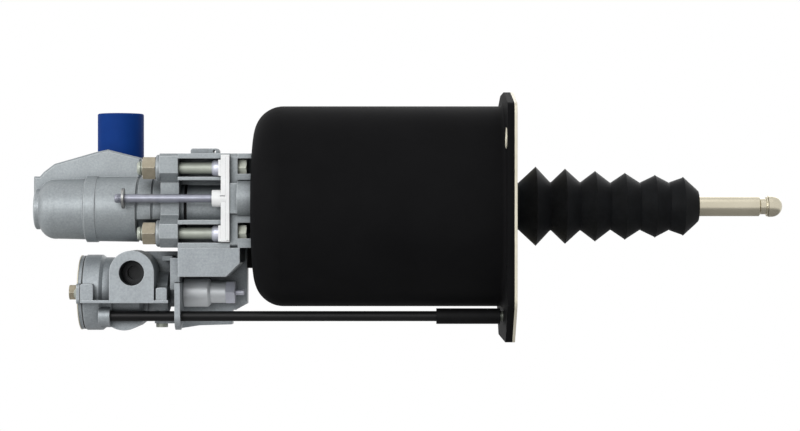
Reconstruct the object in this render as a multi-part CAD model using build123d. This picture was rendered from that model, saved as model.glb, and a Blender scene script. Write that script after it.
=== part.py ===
from build123d import *
import math
import os

# Air and hydraulic clutch servo.
# Millimetres, +Z up. The origin is on the push rod axis, at the outer face of
# the mounting plate. +X points to the push rod. The side with the travel
# indicator is -Y.

# Fits and clearances
SLIDE_GAP = 0.3        # between bodies that slide past each other
SHAFT_GAP = 0.05       # radial running fit of a shaft in its bush
FIT_GAP = 0.02         # radial gap of a piece that is pressed or screwed in

# Air cylinder shell and its flange
SHELL_R = 60.6
SHELL_WALL = 2.5
SHELL_LENGTH = 155.4   # rear face to the outer face of the mounting plate
SHELL_CORNER_R = 17.5
SHELL_FLARE = 2.2
FLANGE_T = 2.6
GASKET_T = 1.4
PLATE_T = 1.6
FLANGE_SIDE_MARGIN = 12.0     # past the shell at the sides
FLANGE_TOP_MARGIN = 7.4       # past the shell at the top
FLANGE_TOP_DROP = 1.9         # the sides end this far below the top of the shell
FLANGE_BOTTOM_RISE = 2.7      # and this far above its bottom
LOBE_MARGIN = 19.5            # past the shell at the bottom
FLANGE_TOP_HALF_W = 21.0
LOBE_HALF_W = 45.0
FLANGE_CORNER_R = 7.0
FLANGE_HOLE_R = 5.25
FLANGE_HOLE_EDGE_Y = 11.9     # from the side edge to the hole centres
FLANGE_HOLE_EDGE_Z = 19.5     # from the end of the side edge to the hole centres

# Push rod with its guide and boot
ROD_R = 6.05
ROD_END_X = 151.0
ROD_NECK_R = 4.9
ROD_NECK_L = 4.7
ROD_BALL_R = 6.45
ROD_BALL_L = 8.8
ROD_RING_WIRE_R = 0.6
ROD_SOCKET_L = 14.0
GUIDE_BOSS_R = 11.0
GUIDE_OUT_L = 4.4
GUIDE_IN_L = 22.0
GUIDE_SPIGOT_R = 25.0  # fills the hole of the plate, wider than the boot
GUIDE_FLANGE_R = 30.0
GUIDE_FLANGE_T = 3.0
BUSH_WALL = 2.0
WIPER_L = 3.0
BOOT_WALL = 1.5
BOOT_COLLAR_R = 14.3
BOOT_FOLDS = [         # distance from the plate and outer radius, root and crest in turn
    (14.8, 24.0), (23.9, 14.6), (32.7, 22.8), (41.9, 14.6), (50.9, 21.4), (60.2, 14.3),
    (69.0, 20.3), (78.1, 14.3), (87.2, 19.0), (95.7, 14.3), (104.2, 17.8),
]
BOOT_SHOULDER = (112.2, 10.5)
BOOT_LENGTH = 113.4

# Air piston and its spring
PISTON_STOP_GAP = 0.3  # between the piston hub and the rod guide at rest
PISTON_HUB_R = 15.0
PISTON_HUB_L = 22.0
PISTON_WEB_T = 5.0
PISTON_RIM_T = 7.0
PISTON_RIM_L = 18.0
PISTON_SEAL_L = 4.0
PISTON_RING_L = 5.0
PISTON_GROOVE_D = 3.0
PISTON_LAND_L = 3.0
SPRING_MARGIN = 22.6   # from the shell to the spring's mean radius
SPRING_WIRE_R = 2.2
SPRING_TURNS = 4.5
SEAT_T = 1.5
SEAT_LIP_H = 5.0

# Hydraulic cylinder
HYD_Z = -1.7           # height of its axis
HYD_LENGTH = 88.8      # from its end face to the joint with the cage
HYD_BORE_R = 11.5
HYD_END_WALL = 5.9
HYD_NOSE_R = 12.3
HYD_BARREL_R = 18.2
HYD_BAND_R = 20.1
HYD_REAR_R = 19.7
NOSE_FACE_L = 3.2
SHOULDER_L = 13.5
BAND_X_FROM_END = 30.5
BAND_L = 7.2
REAR_X_FROM_END = 62.7
COLLAR_R = 19.4
COLLAR_L = 9.2
COLLAR_ROOT_R = 19.1
SEAM_W = 0.5           # seams at both ends of the collar
SEAM_D = 0.8
NUT_ROOM = 0.6         # round the washers, in the collar
PASSAGE_R = 1.8
CUP_PIN_R = 4.0
PLUNGER_R = 7.5
PLUNGER_HEAD_L = 12.0
PLUNGER_CUP_L = 4.0
GLAND_R = 9.5
GLAND_L = 23.0
PILOT_R = 11.8
PILOT_L = 9.0
SPIGOT_R = 16.4
SPIGOT_L = 2.3
SPIGOT_GAP = 0.3
GLAND_RING_T = 1.8
LUG_T = 11.0
FIN_T = 5.0
FIN_BEVEL = 1.2
FIN_OUTLINE = [         # distance from the end face and height
    (-1.1, 8.3), (-1.1, 18.1), (2.5, 18.1), (4.9, 20.8), (11.4, 25.7), (36.9, 33.0), (43.8, 34.4),
    (63.9, 29.3),
]
LUG_TOP_EDGE_Z = 19.6
LUG_BOTTOM_EDGE_Z = -10.8
LUG_WAIST_Y = 21.0
LUG_SLOPE = 5.5
INLET_X_FROM_END = 49.0
INLET_Y = 18.5
INLET_TOP_Z = 42.0
INLET_BOSS_R = 11.0
INLET_BORE_R = 6.0
CAP_R = 14.1
CAP_TOP_Z = 56.9
CAP_BOTTOM_Z = 29.0
CAP_WALL = 2.0

# Cage between the hydraulic cylinder and the shell
CAGE_Z = 3.2           # height of the centre of its bolt pattern
CAGE_LENGTH = 44.0     # from the lugs to the rear face of the shell
CAGE_HALF_W = 28.0
CAGE_TOP_Z = 31.3
CAGE_BOTTOM_Z = -24.8
CAGE_WALL = 3.0
CAGE_CORE_HALF_W = 8.0
CAGE_PLATE_T = 4.6
CAGE_REAR_L = 8.4
CAGE_WEB_TOP_Z = 15.4
CAGE_WEB_TOP_T = 2.0
CAGE_WEB_BOTTOM_Z = -10.9
CAGE_WEB_BOTTOM_T = 2.6
REAR_WEB_TOP_Z = 15.5
REAR_WEB_TOP_T = 3.7
REAR_WEB_BOTTOM_Z = -9.9
REAR_WEB_BOTTOM_T = 4.6
REAR_BOTTOM_T = 5.6
SIDE_BOSS_R = 6.0
AIR_SEAL_R = 11.0
AIR_SEAL_L = 6.0
BOLT_SPOT_R = 6.4
CAGE_BOLT_Y = 20.0
CAGE_BOLT_DZ = 19.5
BOLT_R = 4.0
BOLT_WAIST_R = 3.5
BOLT_HOLE_GAP = 0.25
BOLT_HEAD_AF = 10.0
BOLT_HEAD_H = 5.0
NUT_AF = 13.0
NUT_H = 8.0
WASHER_R = 8.0
WASHER_T = 2.5
BOLT_END_L = 3.4
TOP_LUG_L = 17.0
TOP_LUG_W = 12.0
TOP_LUG_H = 3.6
SHELL_SCREW_R = 3.0
SHELL_SCREW_HEAD_R = 5.6
SHELL_SCREW_HEAD_H = 4.5
SHELL_SCREW_L = 9.0
SHELL_SCREW_TOP_Z = 20.0
SHELL_SCREW_BOTTOM_Z = -18.5
SHELL_SCREW_SIDE_Y = 20.0

# Travel indicator
IND_Y = -27.0
IND_Z = 4.6
IND_ROD_R = 2.5
IND_REACH = 81.6       # from the rear face of the shell to the rod's end
IND_CLIP_R = 6.1
IND_CLIP_T = 1.4
IND_HUB_R = 10.5
IND_PAD_HALF_H = 9.0   # pad on the plate's edge that the rod passes through
IND_SEAL_R = 5.5
IND_CLIP_INSET = 4.4
BRACKET_T = 5.2
BRACKET_LOBE_T = 1.5
BRACKET_BOSS_R = 5.0
BRACKET_BOSS_L = 5.4
BRACKET_FRONT_Y = -31.5
BRACKET_BACK_Y = -14.0
BRACKET_LIP_T = 0.8    # lip along the front edge, beside the cage
BRACKET_LIP_W = 2.1
BRACKET_ROUND = 1.2
BRACKET_TOP_Z = 30.6
BRACKET_BOTTOM_Z = -21.4
BRACKET_LOBE_H = 9.6
BRACKET_WASHER_R = 5.2
BRACKET_WASHER_T = 4.6

# Control valve under the cage
VALVE_Y = 4.0
VALVE_OVER_TUBE = 13.7 # from the breather tube to the valve axis
VALVE_REACH = 102.6    # from the rear face of the shell to the joint of body and cover
HEAD_R = 22.9
HEAD_L = 10.0
HEAD_CONE_L = 4.0
VALVE_BARREL_R = 19.8
VALVE_BARREL_L = 22.0
COVER_T = 2.0
COVER_HUB_R = 6.0
COVER_HUB_L = 3.2
COVER_GASKET_T = 0.4
COVER_SPIGOT_L = 3.8
COVER_WASHER_T = 0.8
COVER_BOLT_R = 2.5
COVER_BOLT_AF = 8.7
COVER_BOLT_HEAD_H = 4.0
AIR_CHAMBER_R = 13.0
AIR_CHAMBER_L = 18.8
SEAT_RING_T = 3.0
SEAT_HOLE_R = 6.0
OUT_CHAMBER_R = 10.0
OUT_CHAMBER_L = 13.0
RELAY_R = 6.5
RELAY_L = 10.0
RELAY_STEM_R = 3.0
RELAY_STROKE = 3.0
POPPET_R = 9.0
POPPET_T = 4.0
POPPET_STEM_R = 3.0
POPPET_STEM_L = 9.0
POPPET_STROKE = 2.0
NECK_R = 8.8
NECK_END_REACH = 27.1  # from the rear face of the shell
NECK_COLLAR_R = 6.55
NECK_COLLAR_L = 9.3
BLEED_AF = 13.0
BLEED_HEX_H = 5.6
BLEED_TIP_R = 1.75
BLEED_TIP_L = 5.6
PORT_FROM_FACE = 30.7
PORT_RISE = 12.4       # above the valve axis
PORT_FACE_Y = -25.0
PORT_PAD_R = 13.35
PORT_PAD_DROP = 3.8
PORT_R = 7.55
PORT_DEPTH = 15.0
PORT_CORE_R = 4.6
PORT_CORE_L = 5.0
RIB_T = 1.7
RIB_L = 52.4
RIB_BACK_Y = -6.0
EXHAUST_FROM_FACE = 24.3
EXHAUST_DROP = 8.2     # below the valve axis
EXHAUST_R = 14.4
EXHAUST_FRONT_Y = -9.2
EXHAUST_BACK_Y = 26.0
EXHAUST_COVER_T = 3.0
SCREW_R = 2.0
WAIST_R = 12.0
NECK_FROM_FACE = 50.2
COVER_BOLT_L = 3.0
RELAY_SEAL_L = 2.0
RELAY_SPRING_R = 4.4
POPPET_SPRING_R = 5.5
VALVE_WIRE_R = 0.6
BLEED_STEM_R = 3.0
BLEED_STEM_L = 14.0
PORT_DRILL_R = 2.2
LEFT_BOSS = (0.0, 7.6, 9.7)    # on the rib: distance from its end, length and height
RIGHT_BOSS = (0.8, 6.5, 7.5)
EAR_H = 12.0
EAR_SCREW_L = 6.0
EAR_SCREW_INSET = 4.5
EXHAUST_BORE_R = 6.5
BRIDGE_T = 4.0
BRIDGE_BACK_Y = 14.0
BRIDGE_DROP = 2.7      # below the cage
BRIDGE_RIB_FRONT_Y = -4.0
BRIDGE_RIB_T = 3.0
BRIDGE_RIB_L = 6.0
POST_W = 5.6           # post of the bridge beside the block
POST_FRONT_Y = -18.0
POST_DROP = 3.5        # below the bridge
POST_RISE = 2.3        # above the valve axis
TUBE_BOSS_R = 5.6
TUBE_BOSS_L = 6.8

# Transfer block, seal and breather
BLOCK_FRONT_Y = -28.0
BLOCK_SHELL_GAP = 7.2  # from the block to the rear face of the shell
BLOCK_OVER_VALVE = 10.3 # from the valve axis to the bottom of the block
BLOCK_CHAMFER = 8.2
BACK_PLATE_FRONT_Y = 14.5
BACK_PLATE_T = 12.0
SEAL_T = 5.8           # between the back plate and the shell
BACK_PLATE_DROP = 11.2 # below the valve axis
SEAL_H = 13.1
AIR_PASSAGE_R = 3.5
AIR_PASSAGE_DROP = 6.6 # below the cage
TUBE_Y = -14.2
TUBE_DROP = 5.4        # below the shell
TUBE_R = 3.05
TUBE_BORE_R = 2.0
TUBE_FROM_FACE = 12.0
TUBE_STUB_L = 20.4
SLEEVE_R = 4.7
SLEEVE_L = 38.3
SLEEVE_GAP = 1.7       # from the sleeve to the flange
CLIP_FROM_FACE = 56.0
CLIP_T = 3.3
CLIP_RISE = 6.3        # above the valve axis
CLIP_R = 8.2
CLIP_SCREW_FROM_FACE = 46.0
CLIP_SCREW_Y = 2.0
CLIP_SCREW_BOSS_R = 4.5
CLIP_SCREW_L = 6.0
CLIP_FOOT_DROP = 16.7  # below the valve axis
CLIP_FOOT_T = 2.0
WALL_SHELL_GAP = 15.0
WALL_OVERHANG = 4.0    # of the lower wall, past the block
WALL_DROP = 22.7       # below the valve axis
BLOCK_SCREW_FROM_LEFT = [7.4, 23.4]
BLOCK_SCREW_Y = -16.0
BLOCK_SCREW_R = 3.0
BLOCK_SCREW_HEAD_R = 4.8
BLOCK_SCREW_GRIP = 11.2
PLATE_SCREW_FROM_LEFT = [7.4, 27.4]
PLATE_SCREW_RISE = 4.9 # above the bottom of the block
PLATE_SCREW_L = 9.0

# Places that follow from the sizes above
PLATE_BACK_X = -PLATE_T
FLANGE_FRONT_X = PLATE_BACK_X - GASKET_T
FLANGE_BACK_X = FLANGE_FRONT_X - FLANGE_T
FLANGE_HALF_W = SHELL_R + FLANGE_SIDE_MARGIN
FLANGE_TOP_Z = SHELL_R + FLANGE_TOP_MARGIN
FLANGE_SIDE_TOP_Z = SHELL_R - FLANGE_TOP_DROP
FLANGE_SIDE_BOTTOM_Z = FLANGE_BOTTOM_RISE - SHELL_R
FLANGE_BOTTOM_Z = -SHELL_R - LOBE_MARGIN
FLANGE_HOLE_Y = FLANGE_HALF_W - FLANGE_HOLE_EDGE_Y
FLANGE_HOLE_Z = FLANGE_SIDE_TOP_Z - FLANGE_HOLE_EDGE_Z
SPRING_R = SHELL_R - SPRING_MARGIN
REAR_X = -SHELL_LENGTH
REAR_INNER_X = REAR_X + SHELL_WALL
SHELL_BORE_R = SHELL_R - SHELL_WALL
GUIDE_BACK_X = PLATE_BACK_X - GUIDE_IN_L
BUSH_R = ROD_R + SHAFT_GAP + BUSH_WALL
PISTON_FRONT_X = GUIDE_BACK_X - PISTON_STOP_GAP
PISTON_BACK_X = PISTON_FRONT_X - PISTON_HUB_L
WEB_FRONT_X = PISTON_FRONT_X - 0.5 * (PISTON_HUB_L - PISTON_WEB_T)
WEB_BACK_X = WEB_FRONT_X - PISTON_WEB_T
RIM_FRONT_X = WEB_FRONT_X + 0.5 * (PISTON_RIM_L - PISTON_WEB_T)
RIM_BACK_X = RIM_FRONT_X - PISTON_RIM_L
PISTON_R = SHELL_BORE_R - 2 * SLIDE_GAP
PLUNGER_FRONT_X = PISTON_BACK_X + 6.0
AIR_SEAL_LEFT_X = REAR_X - AIR_SEAL_L
CAGE_RIGHT_X = REAR_X
CAGE_PLATE_RIGHT_X = CAGE_RIGHT_X - CAGE_REAR_L
CAGE_PLATE_LEFT_X = CAGE_PLATE_RIGHT_X - CAGE_PLATE_T
LUG_RIGHT_X = CAGE_RIGHT_X - CAGE_LENGTH
LUG_LEFT_X = LUG_RIGHT_X - LUG_T
HYD_END_X = LUG_RIGHT_X - HYD_LENGTH
SPIGOT_RIGHT_X = LUG_RIGHT_X + SPIGOT_L
PILOT_RIGHT_X = SPIGOT_RIGHT_X + PILOT_L
HYD_BORE_END_X = HYD_END_X + HYD_END_WALL
GLAND_RIGHT_X = PILOT_RIGHT_X
GLAND_LEFT_X = GLAND_RIGHT_X - GLAND_L
CAGE_TUBE_LEFT_X = SPIGOT_RIGHT_X + GLAND_RING_T
HEAD_RIGHT_X = GLAND_LEFT_X - 2 * SLIDE_GAP
HEAD_LEFT_X = HEAD_RIGHT_X - PLUNGER_HEAD_L
CUP_LEFT_X = HEAD_LEFT_X - PLUNGER_CUP_L
CAGE_BOLTS = [(y, CAGE_Z + dz) for y in (-CAGE_BOLT_Y, CAGE_BOLT_Y) for dz in (-CAGE_BOLT_DZ, CAGE_BOLT_DZ)]
FLANGE_HOLES = [(y, z) for y in (-FLANGE_HOLE_Y, FLANGE_HOLE_Y) for z in (-FLANGE_HOLE_Z, FLANGE_HOLE_Z)]
SHELL_SCREWS = [(0.0, SHELL_SCREW_TOP_Z), (0.0, SHELL_SCREW_BOTTOM_Z), (SHELL_SCREW_SIDE_Y, CAGE_Z)]
NUT_LEFT_X = LUG_LEFT_X - WASHER_T - NUT_H
BOLT_END_X = NUT_LEFT_X - BOLT_END_L
BRACKET_RIGHT_X = CAGE_PLATE_LEFT_X
BRACKET_LEFT_X = BRACKET_RIGHT_X - BRACKET_T
LOBE_LEFT_X = BRACKET_LEFT_X - BRACKET_LOBE_T
INLET_X = HYD_END_X + INLET_X_FROM_END
IND_END_X = REAR_X - IND_REACH
TUBE_Z = -SHELL_R - TUBE_DROP
VALVE_Z = TUBE_Z + VALVE_OVER_TUBE
VALVE_FACE_X = REAR_X - VALVE_REACH
NECK_END_X = REAR_X - NECK_END_REACH
NECK_LEFT_X = VALVE_FACE_X + NECK_FROM_FACE
PORT_X = VALVE_FACE_X + PORT_FROM_FACE
PORT_Z = VALVE_Z + PORT_RISE
PORT_PAD_BOTTOM_Z = VALVE_Z - PORT_PAD_DROP
RIB_RIGHT_X = VALVE_FACE_X + RIB_L
EXHAUST_X = VALVE_FACE_X + EXHAUST_FROM_FACE
EXHAUST_Z = VALVE_Z - EXHAUST_DROP
BRIDGE_TOP_Z = CAGE_BOTTOM_Z - BRIDGE_DROP
BLOCK_RIGHT_X = REAR_X - BLOCK_SHELL_GAP
BLOCK_BOTTOM_Z = VALVE_Z + BLOCK_OVER_VALVE
BACK_PLATE_RIGHT_X = REAR_X - SEAL_T
BACK_PLATE_BOTTOM_Z = VALVE_Z - BACK_PLATE_DROP
SEAL_BOTTOM_Z = CAGE_BOTTOM_Z - SEAL_H
AIR_PASSAGE_Z = CAGE_BOTTOM_Z - AIR_PASSAGE_DROP
TUBE_LEFT_X = VALVE_FACE_X + TUBE_FROM_FACE
TUBE_JOINT_X = FLANGE_BACK_X - TUBE_STUB_L
SLEEVE_RIGHT_X = FLANGE_BACK_X - SLEEVE_GAP
SLEEVE_LEFT_X = SLEEVE_RIGHT_X - SLEEVE_L
CLIP_X = VALVE_FACE_X + CLIP_FROM_FACE
CLIP_TOP_Z = VALVE_Z + CLIP_RISE
CLIP_SCREW_X = VALVE_FACE_X + CLIP_SCREW_FROM_FACE
CLIP_FOOT_TOP_Z = VALVE_Z - CLIP_FOOT_DROP
WALL_RIGHT_X = REAR_X - WALL_SHELL_GAP
WALL_BOTTOM_Z = VALVE_Z - WALL_DROP
COVER_LEFT_X = VALVE_FACE_X - COVER_GASKET_T - COVER_T
COVER_HUB_LEFT_X = COVER_LEFT_X - COVER_HUB_L
HEAD_RIGHT_FACE_X = VALVE_FACE_X + HEAD_L
BARREL_LEFT_X = HEAD_RIGHT_FACE_X + HEAD_CONE_L
BARREL_RIGHT_X = BARREL_LEFT_X + VALVE_BARREL_L
AIR_CHAMBER_RIGHT_X = VALVE_FACE_X + AIR_CHAMBER_L
SEAT_RIGHT_X = AIR_CHAMBER_RIGHT_X
SEAT_LEFT_X = SEAT_RIGHT_X - SEAT_RING_T
OUT_CHAMBER_RIGHT_X = AIR_CHAMBER_RIGHT_X + OUT_CHAMBER_L
RELAY_LEFT_X = OUT_CHAMBER_RIGHT_X + SLIDE_GAP + 1.0
RELAY_RIGHT_X = RELAY_LEFT_X + RELAY_L
POPPET_RIGHT_X = SEAT_LEFT_X - SLIDE_GAP
POPPET_LEFT_X = POPPET_RIGHT_X - POPPET_T
STEM_LEFT_X = POPPET_RIGHT_X + SLIDE_GAP + RELAY_STROKE - POPPET_STROKE
NECK_COLLAR_END_X = NECK_END_X + NECK_COLLAR_L
PORT_BACK_Y = PORT_FACE_Y + PORT_DEPTH
EAR_SCREW_Y = [PORT_FACE_Y + EAR_SCREW_INSET, 2 * VALVE_Y - PORT_FACE_Y - EAR_SCREW_INSET]
BLOCK_LEFT_X = LUG_RIGHT_X
BLOCK_SCREWS = [(BLOCK_LEFT_X + step, BLOCK_SCREW_Y) for step in BLOCK_SCREW_FROM_LEFT]
BLOCK_SCREW_SEAT_Z = CAGE_BOTTOM_Z - BLOCK_SCREW_GRIP
PLATE_SCREW_X = [BLOCK_LEFT_X + step for step in PLATE_SCREW_FROM_LEFT]
PLATE_SCREW_Z = BLOCK_BOTTOM_Z + PLATE_SCREW_RISE
BACK_PLATE_BACK_Y = BACK_PLATE_FRONT_Y + BACK_PLATE_T


# Basic shapes
def turned(profile, y=0.0, z=0.0):
    """Solid turned about a line along X, from (x, radius) points."""
    wire = Polyline(*[(x, 0, r) for x, r in profile], close=True)
    return Pos(0, y, z) * revolve(make_face(wire), Axis.X)


def rod_x(x0, x1, radius, y=0.0, z=0.0):
    """Cylinder along X between two X values."""
    return Pos((x0 + x1) / 2, y, z) * Rot(0, 90, 0) * Cylinder(radius, abs(x1 - x0))


def rod_y(y0, y1, radius, x, z):
    """Cylinder along Y between two Y values."""
    return Pos(x, (y0 + y1) / 2, z) * Rot(90, 0, 0) * Cylinder(radius, abs(y1 - y0))


def rod_z(z0, z1, radius, x, y):
    """Cylinder along Z between two Z values."""
    return Pos(x, y, (z0 + z1) / 2) * Cylinder(radius, abs(z1 - z0))


def tube_x(x0, x1, outer, inner, y=0.0, z=0.0):
    """Tube along X between two X values."""
    return turned([(x0, inner), (x1, inner), (x1, outer), (x0, outer)], y, z)


def block(x0, x1, y0, y1, z0, z1):
    """Box between two corners."""
    return Pos((x0 + x1) / 2, (y0 + y1) / 2, (z0 + z1) / 2) * Box(abs(x1 - x0), abs(y1 - y0), abs(z1 - z0))


def prism_x(points, x0, x1):
    """Prism along X with an outline of (y, z) points."""
    return extrude(Plane.YZ.offset(x0) * Polygon(*points, align=None), x1 - x0, dir=(1, 0, 0))


def prism_y(points, y0, y1):
    """Prism along Y with an outline of (x, z) points."""
    return extrude(Plane.XZ.offset(-y1) * Polygon(*points, align=None), y1 - y0, dir=(0, -1, 0))


def hexagon_x(x0, x1, across_flats, y, z, chamfer=True):
    """Hexagonal prism along X with a corner at -Y, and corners turned off at both ends."""
    corner_r = across_flats / math.sqrt(3)
    solid = extrude(Plane.YZ.offset(x0) * Pos(y, z) * RegularPolygon(corner_r, 6), x1 - x0)
    if not chamfer:
        return solid
    drop = 0.5 * (corner_r - across_flats / 2)
    envelope = turned([(x0, 0), (x0, across_flats / 2), (x0 + drop, corner_r + drop / 4),
                       (x1 - drop, corner_r + drop / 4), (x1, across_flats / 2), (x1, 0)], y, z)
    return solid & envelope


def save(node, shape):
    """Write one node to its own file."""
    export_step(shape, "parts/" + node + ".step")


def group(solids):
    """Several separate solids in one node."""
    return Compound(children=list(solids))


# Flange outline
def flange_outline():
    """Outline of the flange, with its lobe at the bottom."""
    right = [(FLANGE_TOP_HALF_W, FLANGE_TOP_Z), (FLANGE_HALF_W, FLANGE_SIDE_TOP_Z),
             (FLANGE_HALF_W, FLANGE_SIDE_BOTTOM_Z), (LOBE_HALF_W, FLANGE_BOTTOM_Z)]
    left = [(-y, z) for y, z in reversed(right)]
    sketch = Polygon(*(right + left), align=None)
    return fillet(sketch.vertices(), FLANGE_CORNER_R)


def flange_slab(x0, x1):
    """Slab with the flange's outline and its four bolt holes."""
    slab = extrude(Plane.YZ.offset(x0) * flange_outline(), x1 - x0, dir=(1, 0, 0))
    for y, z in FLANGE_HOLES:
        slab -= rod_x(x0 - 1, x1 + 1, FLANGE_HOLE_R, y, z)
    return slab


# Air cylinder
def make_shell():
    """Deep-drawn steel cup with its flange."""
    corner = SHELL_CORNER_R
    inner_corner = corner - SHELL_WALL
    flare = SHELL_FLARE
    arc_45 = math.sqrt(0.5)
    with BuildPart() as cup:
        with BuildSketch(Plane.XZ):
            with BuildLine():
                Polyline((REAR_X, 0), (REAR_X, SHELL_R - corner))
                ThreePointArc((REAR_X, SHELL_R - corner),
                              (REAR_X + corner * (1 - arc_45), SHELL_R - corner * (1 - arc_45)),
                              (REAR_X + corner, SHELL_R))
                Line((REAR_X + corner, SHELL_R), (FLANGE_BACK_X - flare, SHELL_R))
                ThreePointArc((FLANGE_BACK_X - flare, SHELL_R),
                              (FLANGE_BACK_X - flare * (1 - arc_45), SHELL_R + flare * (1 - arc_45)),
                              (FLANGE_BACK_X, SHELL_R + flare))
                Polyline((FLANGE_BACK_X, SHELL_R + flare), (FLANGE_FRONT_X, SHELL_R + flare),
                         (FLANGE_FRONT_X, SHELL_BORE_R), (REAR_X + corner, SHELL_BORE_R))
                ThreePointArc((REAR_X + corner, SHELL_BORE_R),
                              (REAR_X + corner - inner_corner * arc_45,
                               SHELL_R - corner + inner_corner * arc_45),
                              (REAR_INNER_X, SHELL_R - corner))
                Polyline((REAR_INNER_X, SHELL_R - corner), (REAR_INNER_X, 0), (REAR_X, 0))
            make_face()
        revolve(axis=Axis.X)
    shell = cup.part + (flange_slab(FLANGE_BACK_X, FLANGE_FRONT_X)
                        - rod_x(FLANGE_BACK_X - 1, FLANGE_FRONT_X + 1, SHELL_R))
    shell -= rod_x(REAR_X - 1, REAR_INNER_X + 1, PLUNGER_R + 1.5, 0, HYD_Z)
    shell -= rod_x(REAR_X - 1, REAR_INNER_X + 1, IND_SEAL_R + FIT_GAP, IND_Y, IND_Z)
    passage_y = BACK_PLATE_FRONT_Y + BACK_PLATE_T / 2
    shell -= rod_x(REAR_X - 1, REAR_X + corner, AIR_PASSAGE_R, passage_y, AIR_PASSAGE_Z)
    for y, z in SHELL_SCREWS:
        shell -= rod_x(REAR_X - 1, REAR_INNER_X + 1, SHELL_SCREW_R + BOLT_HOLE_GAP, y, z)
    shell -= rod_x(FLANGE_BACK_X - 1, FLANGE_FRONT_X + 1, TUBE_R + FIT_GAP, TUBE_Y, TUBE_Z)
    return shell


def make_gasket():
    """Flat gasket with the slot that lets air from the breather tube into the shell."""
    gasket = flange_slab(FLANGE_FRONT_X, PLATE_BACK_X)
    gasket -= rod_x(FLANGE_FRONT_X - 1, PLATE_BACK_X + 1, SHELL_BORE_R)
    slot_r = TUBE_BORE_R + 0.5
    gasket -= rod_x(FLANGE_FRONT_X - 1, PLATE_BACK_X + 1, slot_r, TUBE_Y, TUBE_Z)
    gasket -= block(FLANGE_FRONT_X - 1, PLATE_BACK_X + 1, TUBE_Y - slot_r, TUBE_Y + slot_r,
                    TUBE_Z, -SHELL_BORE_R + GUIDE_FLANGE_T)
    return gasket


def make_plate():
    """Mounting plate that closes the shell."""
    plate = flange_slab(PLATE_BACK_X, 0)
    return plate - rod_x(PLATE_BACK_X - 1, 1, GUIDE_SPIGOT_R + FIT_GAP)


def make_guide():
    """Flanged sleeve in the plate that carries the rod bush and the boot."""
    bore = BUSH_R + FIT_GAP
    flange_left = PLATE_BACK_X - GUIDE_FLANGE_T
    return turned([(GUIDE_BACK_X, bore), (GUIDE_OUT_L, bore), (GUIDE_OUT_L, GUIDE_BOSS_R),
                   (0, GUIDE_BOSS_R), (0, GUIDE_SPIGOT_R), (PLATE_BACK_X, GUIDE_SPIGOT_R),
                   (PLATE_BACK_X, GUIDE_FLANGE_R),
                   (flange_left, GUIDE_FLANGE_R), (flange_left, GUIDE_BOSS_R),
                   (GUIDE_BACK_X, GUIDE_BOSS_R)])


def make_bush():
    """Plain bush that the push rod slides in."""
    return tube_x(GUIDE_BACK_X, GUIDE_OUT_L - WIPER_L, BUSH_R, ROD_R + SHAFT_GAP)


def make_wiper():
    """Rubber wiper at the outer end of the bush."""
    return tube_x(GUIDE_OUT_L - WIPER_L, GUIDE_OUT_L, BUSH_R, ROD_R + SHAFT_GAP)


def make_boot():
    """Rubber boot with sharp folds, from the plate to the push rod."""
    shoulder_x, shoulder_r = BOOT_SHOULDER
    outer = [(0, BOOT_COLLAR_R), (GUIDE_OUT_L, BOOT_COLLAR_R)] + BOOT_FOLDS
    outer += [(shoulder_x, shoulder_r), (BOOT_LENGTH, shoulder_r - 1.2)]
    inner = [(0, GUIDE_BOSS_R + FIT_GAP), (GUIDE_OUT_L + BOOT_WALL, GUIDE_BOSS_R + FIT_GAP)]
    inner += [(x, r - BOOT_WALL * 1.35) for x, r in BOOT_FOLDS]
    grip_r = ROD_R + SHAFT_GAP
    inner += [(shoulder_x - 3 * BOOT_WALL, shoulder_r - BOOT_WALL), (shoulder_x - 3 * BOOT_WALL, grip_r),
              (BOOT_LENGTH, grip_r)]
    return turned(outer + inner[::-1])


# Moving group: push rod, air piston, plunger
def make_push_rod():
    """Push rod with a neck and a ball end."""
    neck_end = ROD_END_X + ROD_NECK_L
    ball_base = neck_end + ROD_BALL_L - ROD_BALL_R
    with BuildPart() as rod:
        with BuildSketch(Plane.XZ):
            with BuildLine():
                Polyline((PISTON_FRONT_X - ROD_SOCKET_L, 0), (PISTON_FRONT_X - ROD_SOCKET_L, ROD_R),
                         (ROD_END_X - 0.8, ROD_R), (ROD_END_X, ROD_R - 0.8), (ROD_END_X, ROD_NECK_R),
                         (neck_end, ROD_NECK_R), (neck_end, ROD_BALL_R), (ball_base, ROD_BALL_R))
                ThreePointArc((ball_base, ROD_BALL_R),
                              (ball_base + ROD_BALL_R * math.sqrt(0.5), ROD_BALL_R * math.sqrt(0.5)),
                              (ball_base + ROD_BALL_R, 0))
                Line((ball_base + ROD_BALL_R, 0), (PISTON_FRONT_X - ROD_SOCKET_L, 0))
            make_face()
        revolve(axis=Axis.X)
    return rod.part


def make_rod_ring():
    """Wire ring in the neck of the push rod."""
    ring_x = ROD_END_X + ROD_NECK_L - ROD_RING_WIRE_R
    return Pos(ring_x, 0, 0) * Rot(0, 90, 0) * Torus(ROD_NECK_R + ROD_RING_WIRE_R, ROD_RING_WIRE_R)


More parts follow.
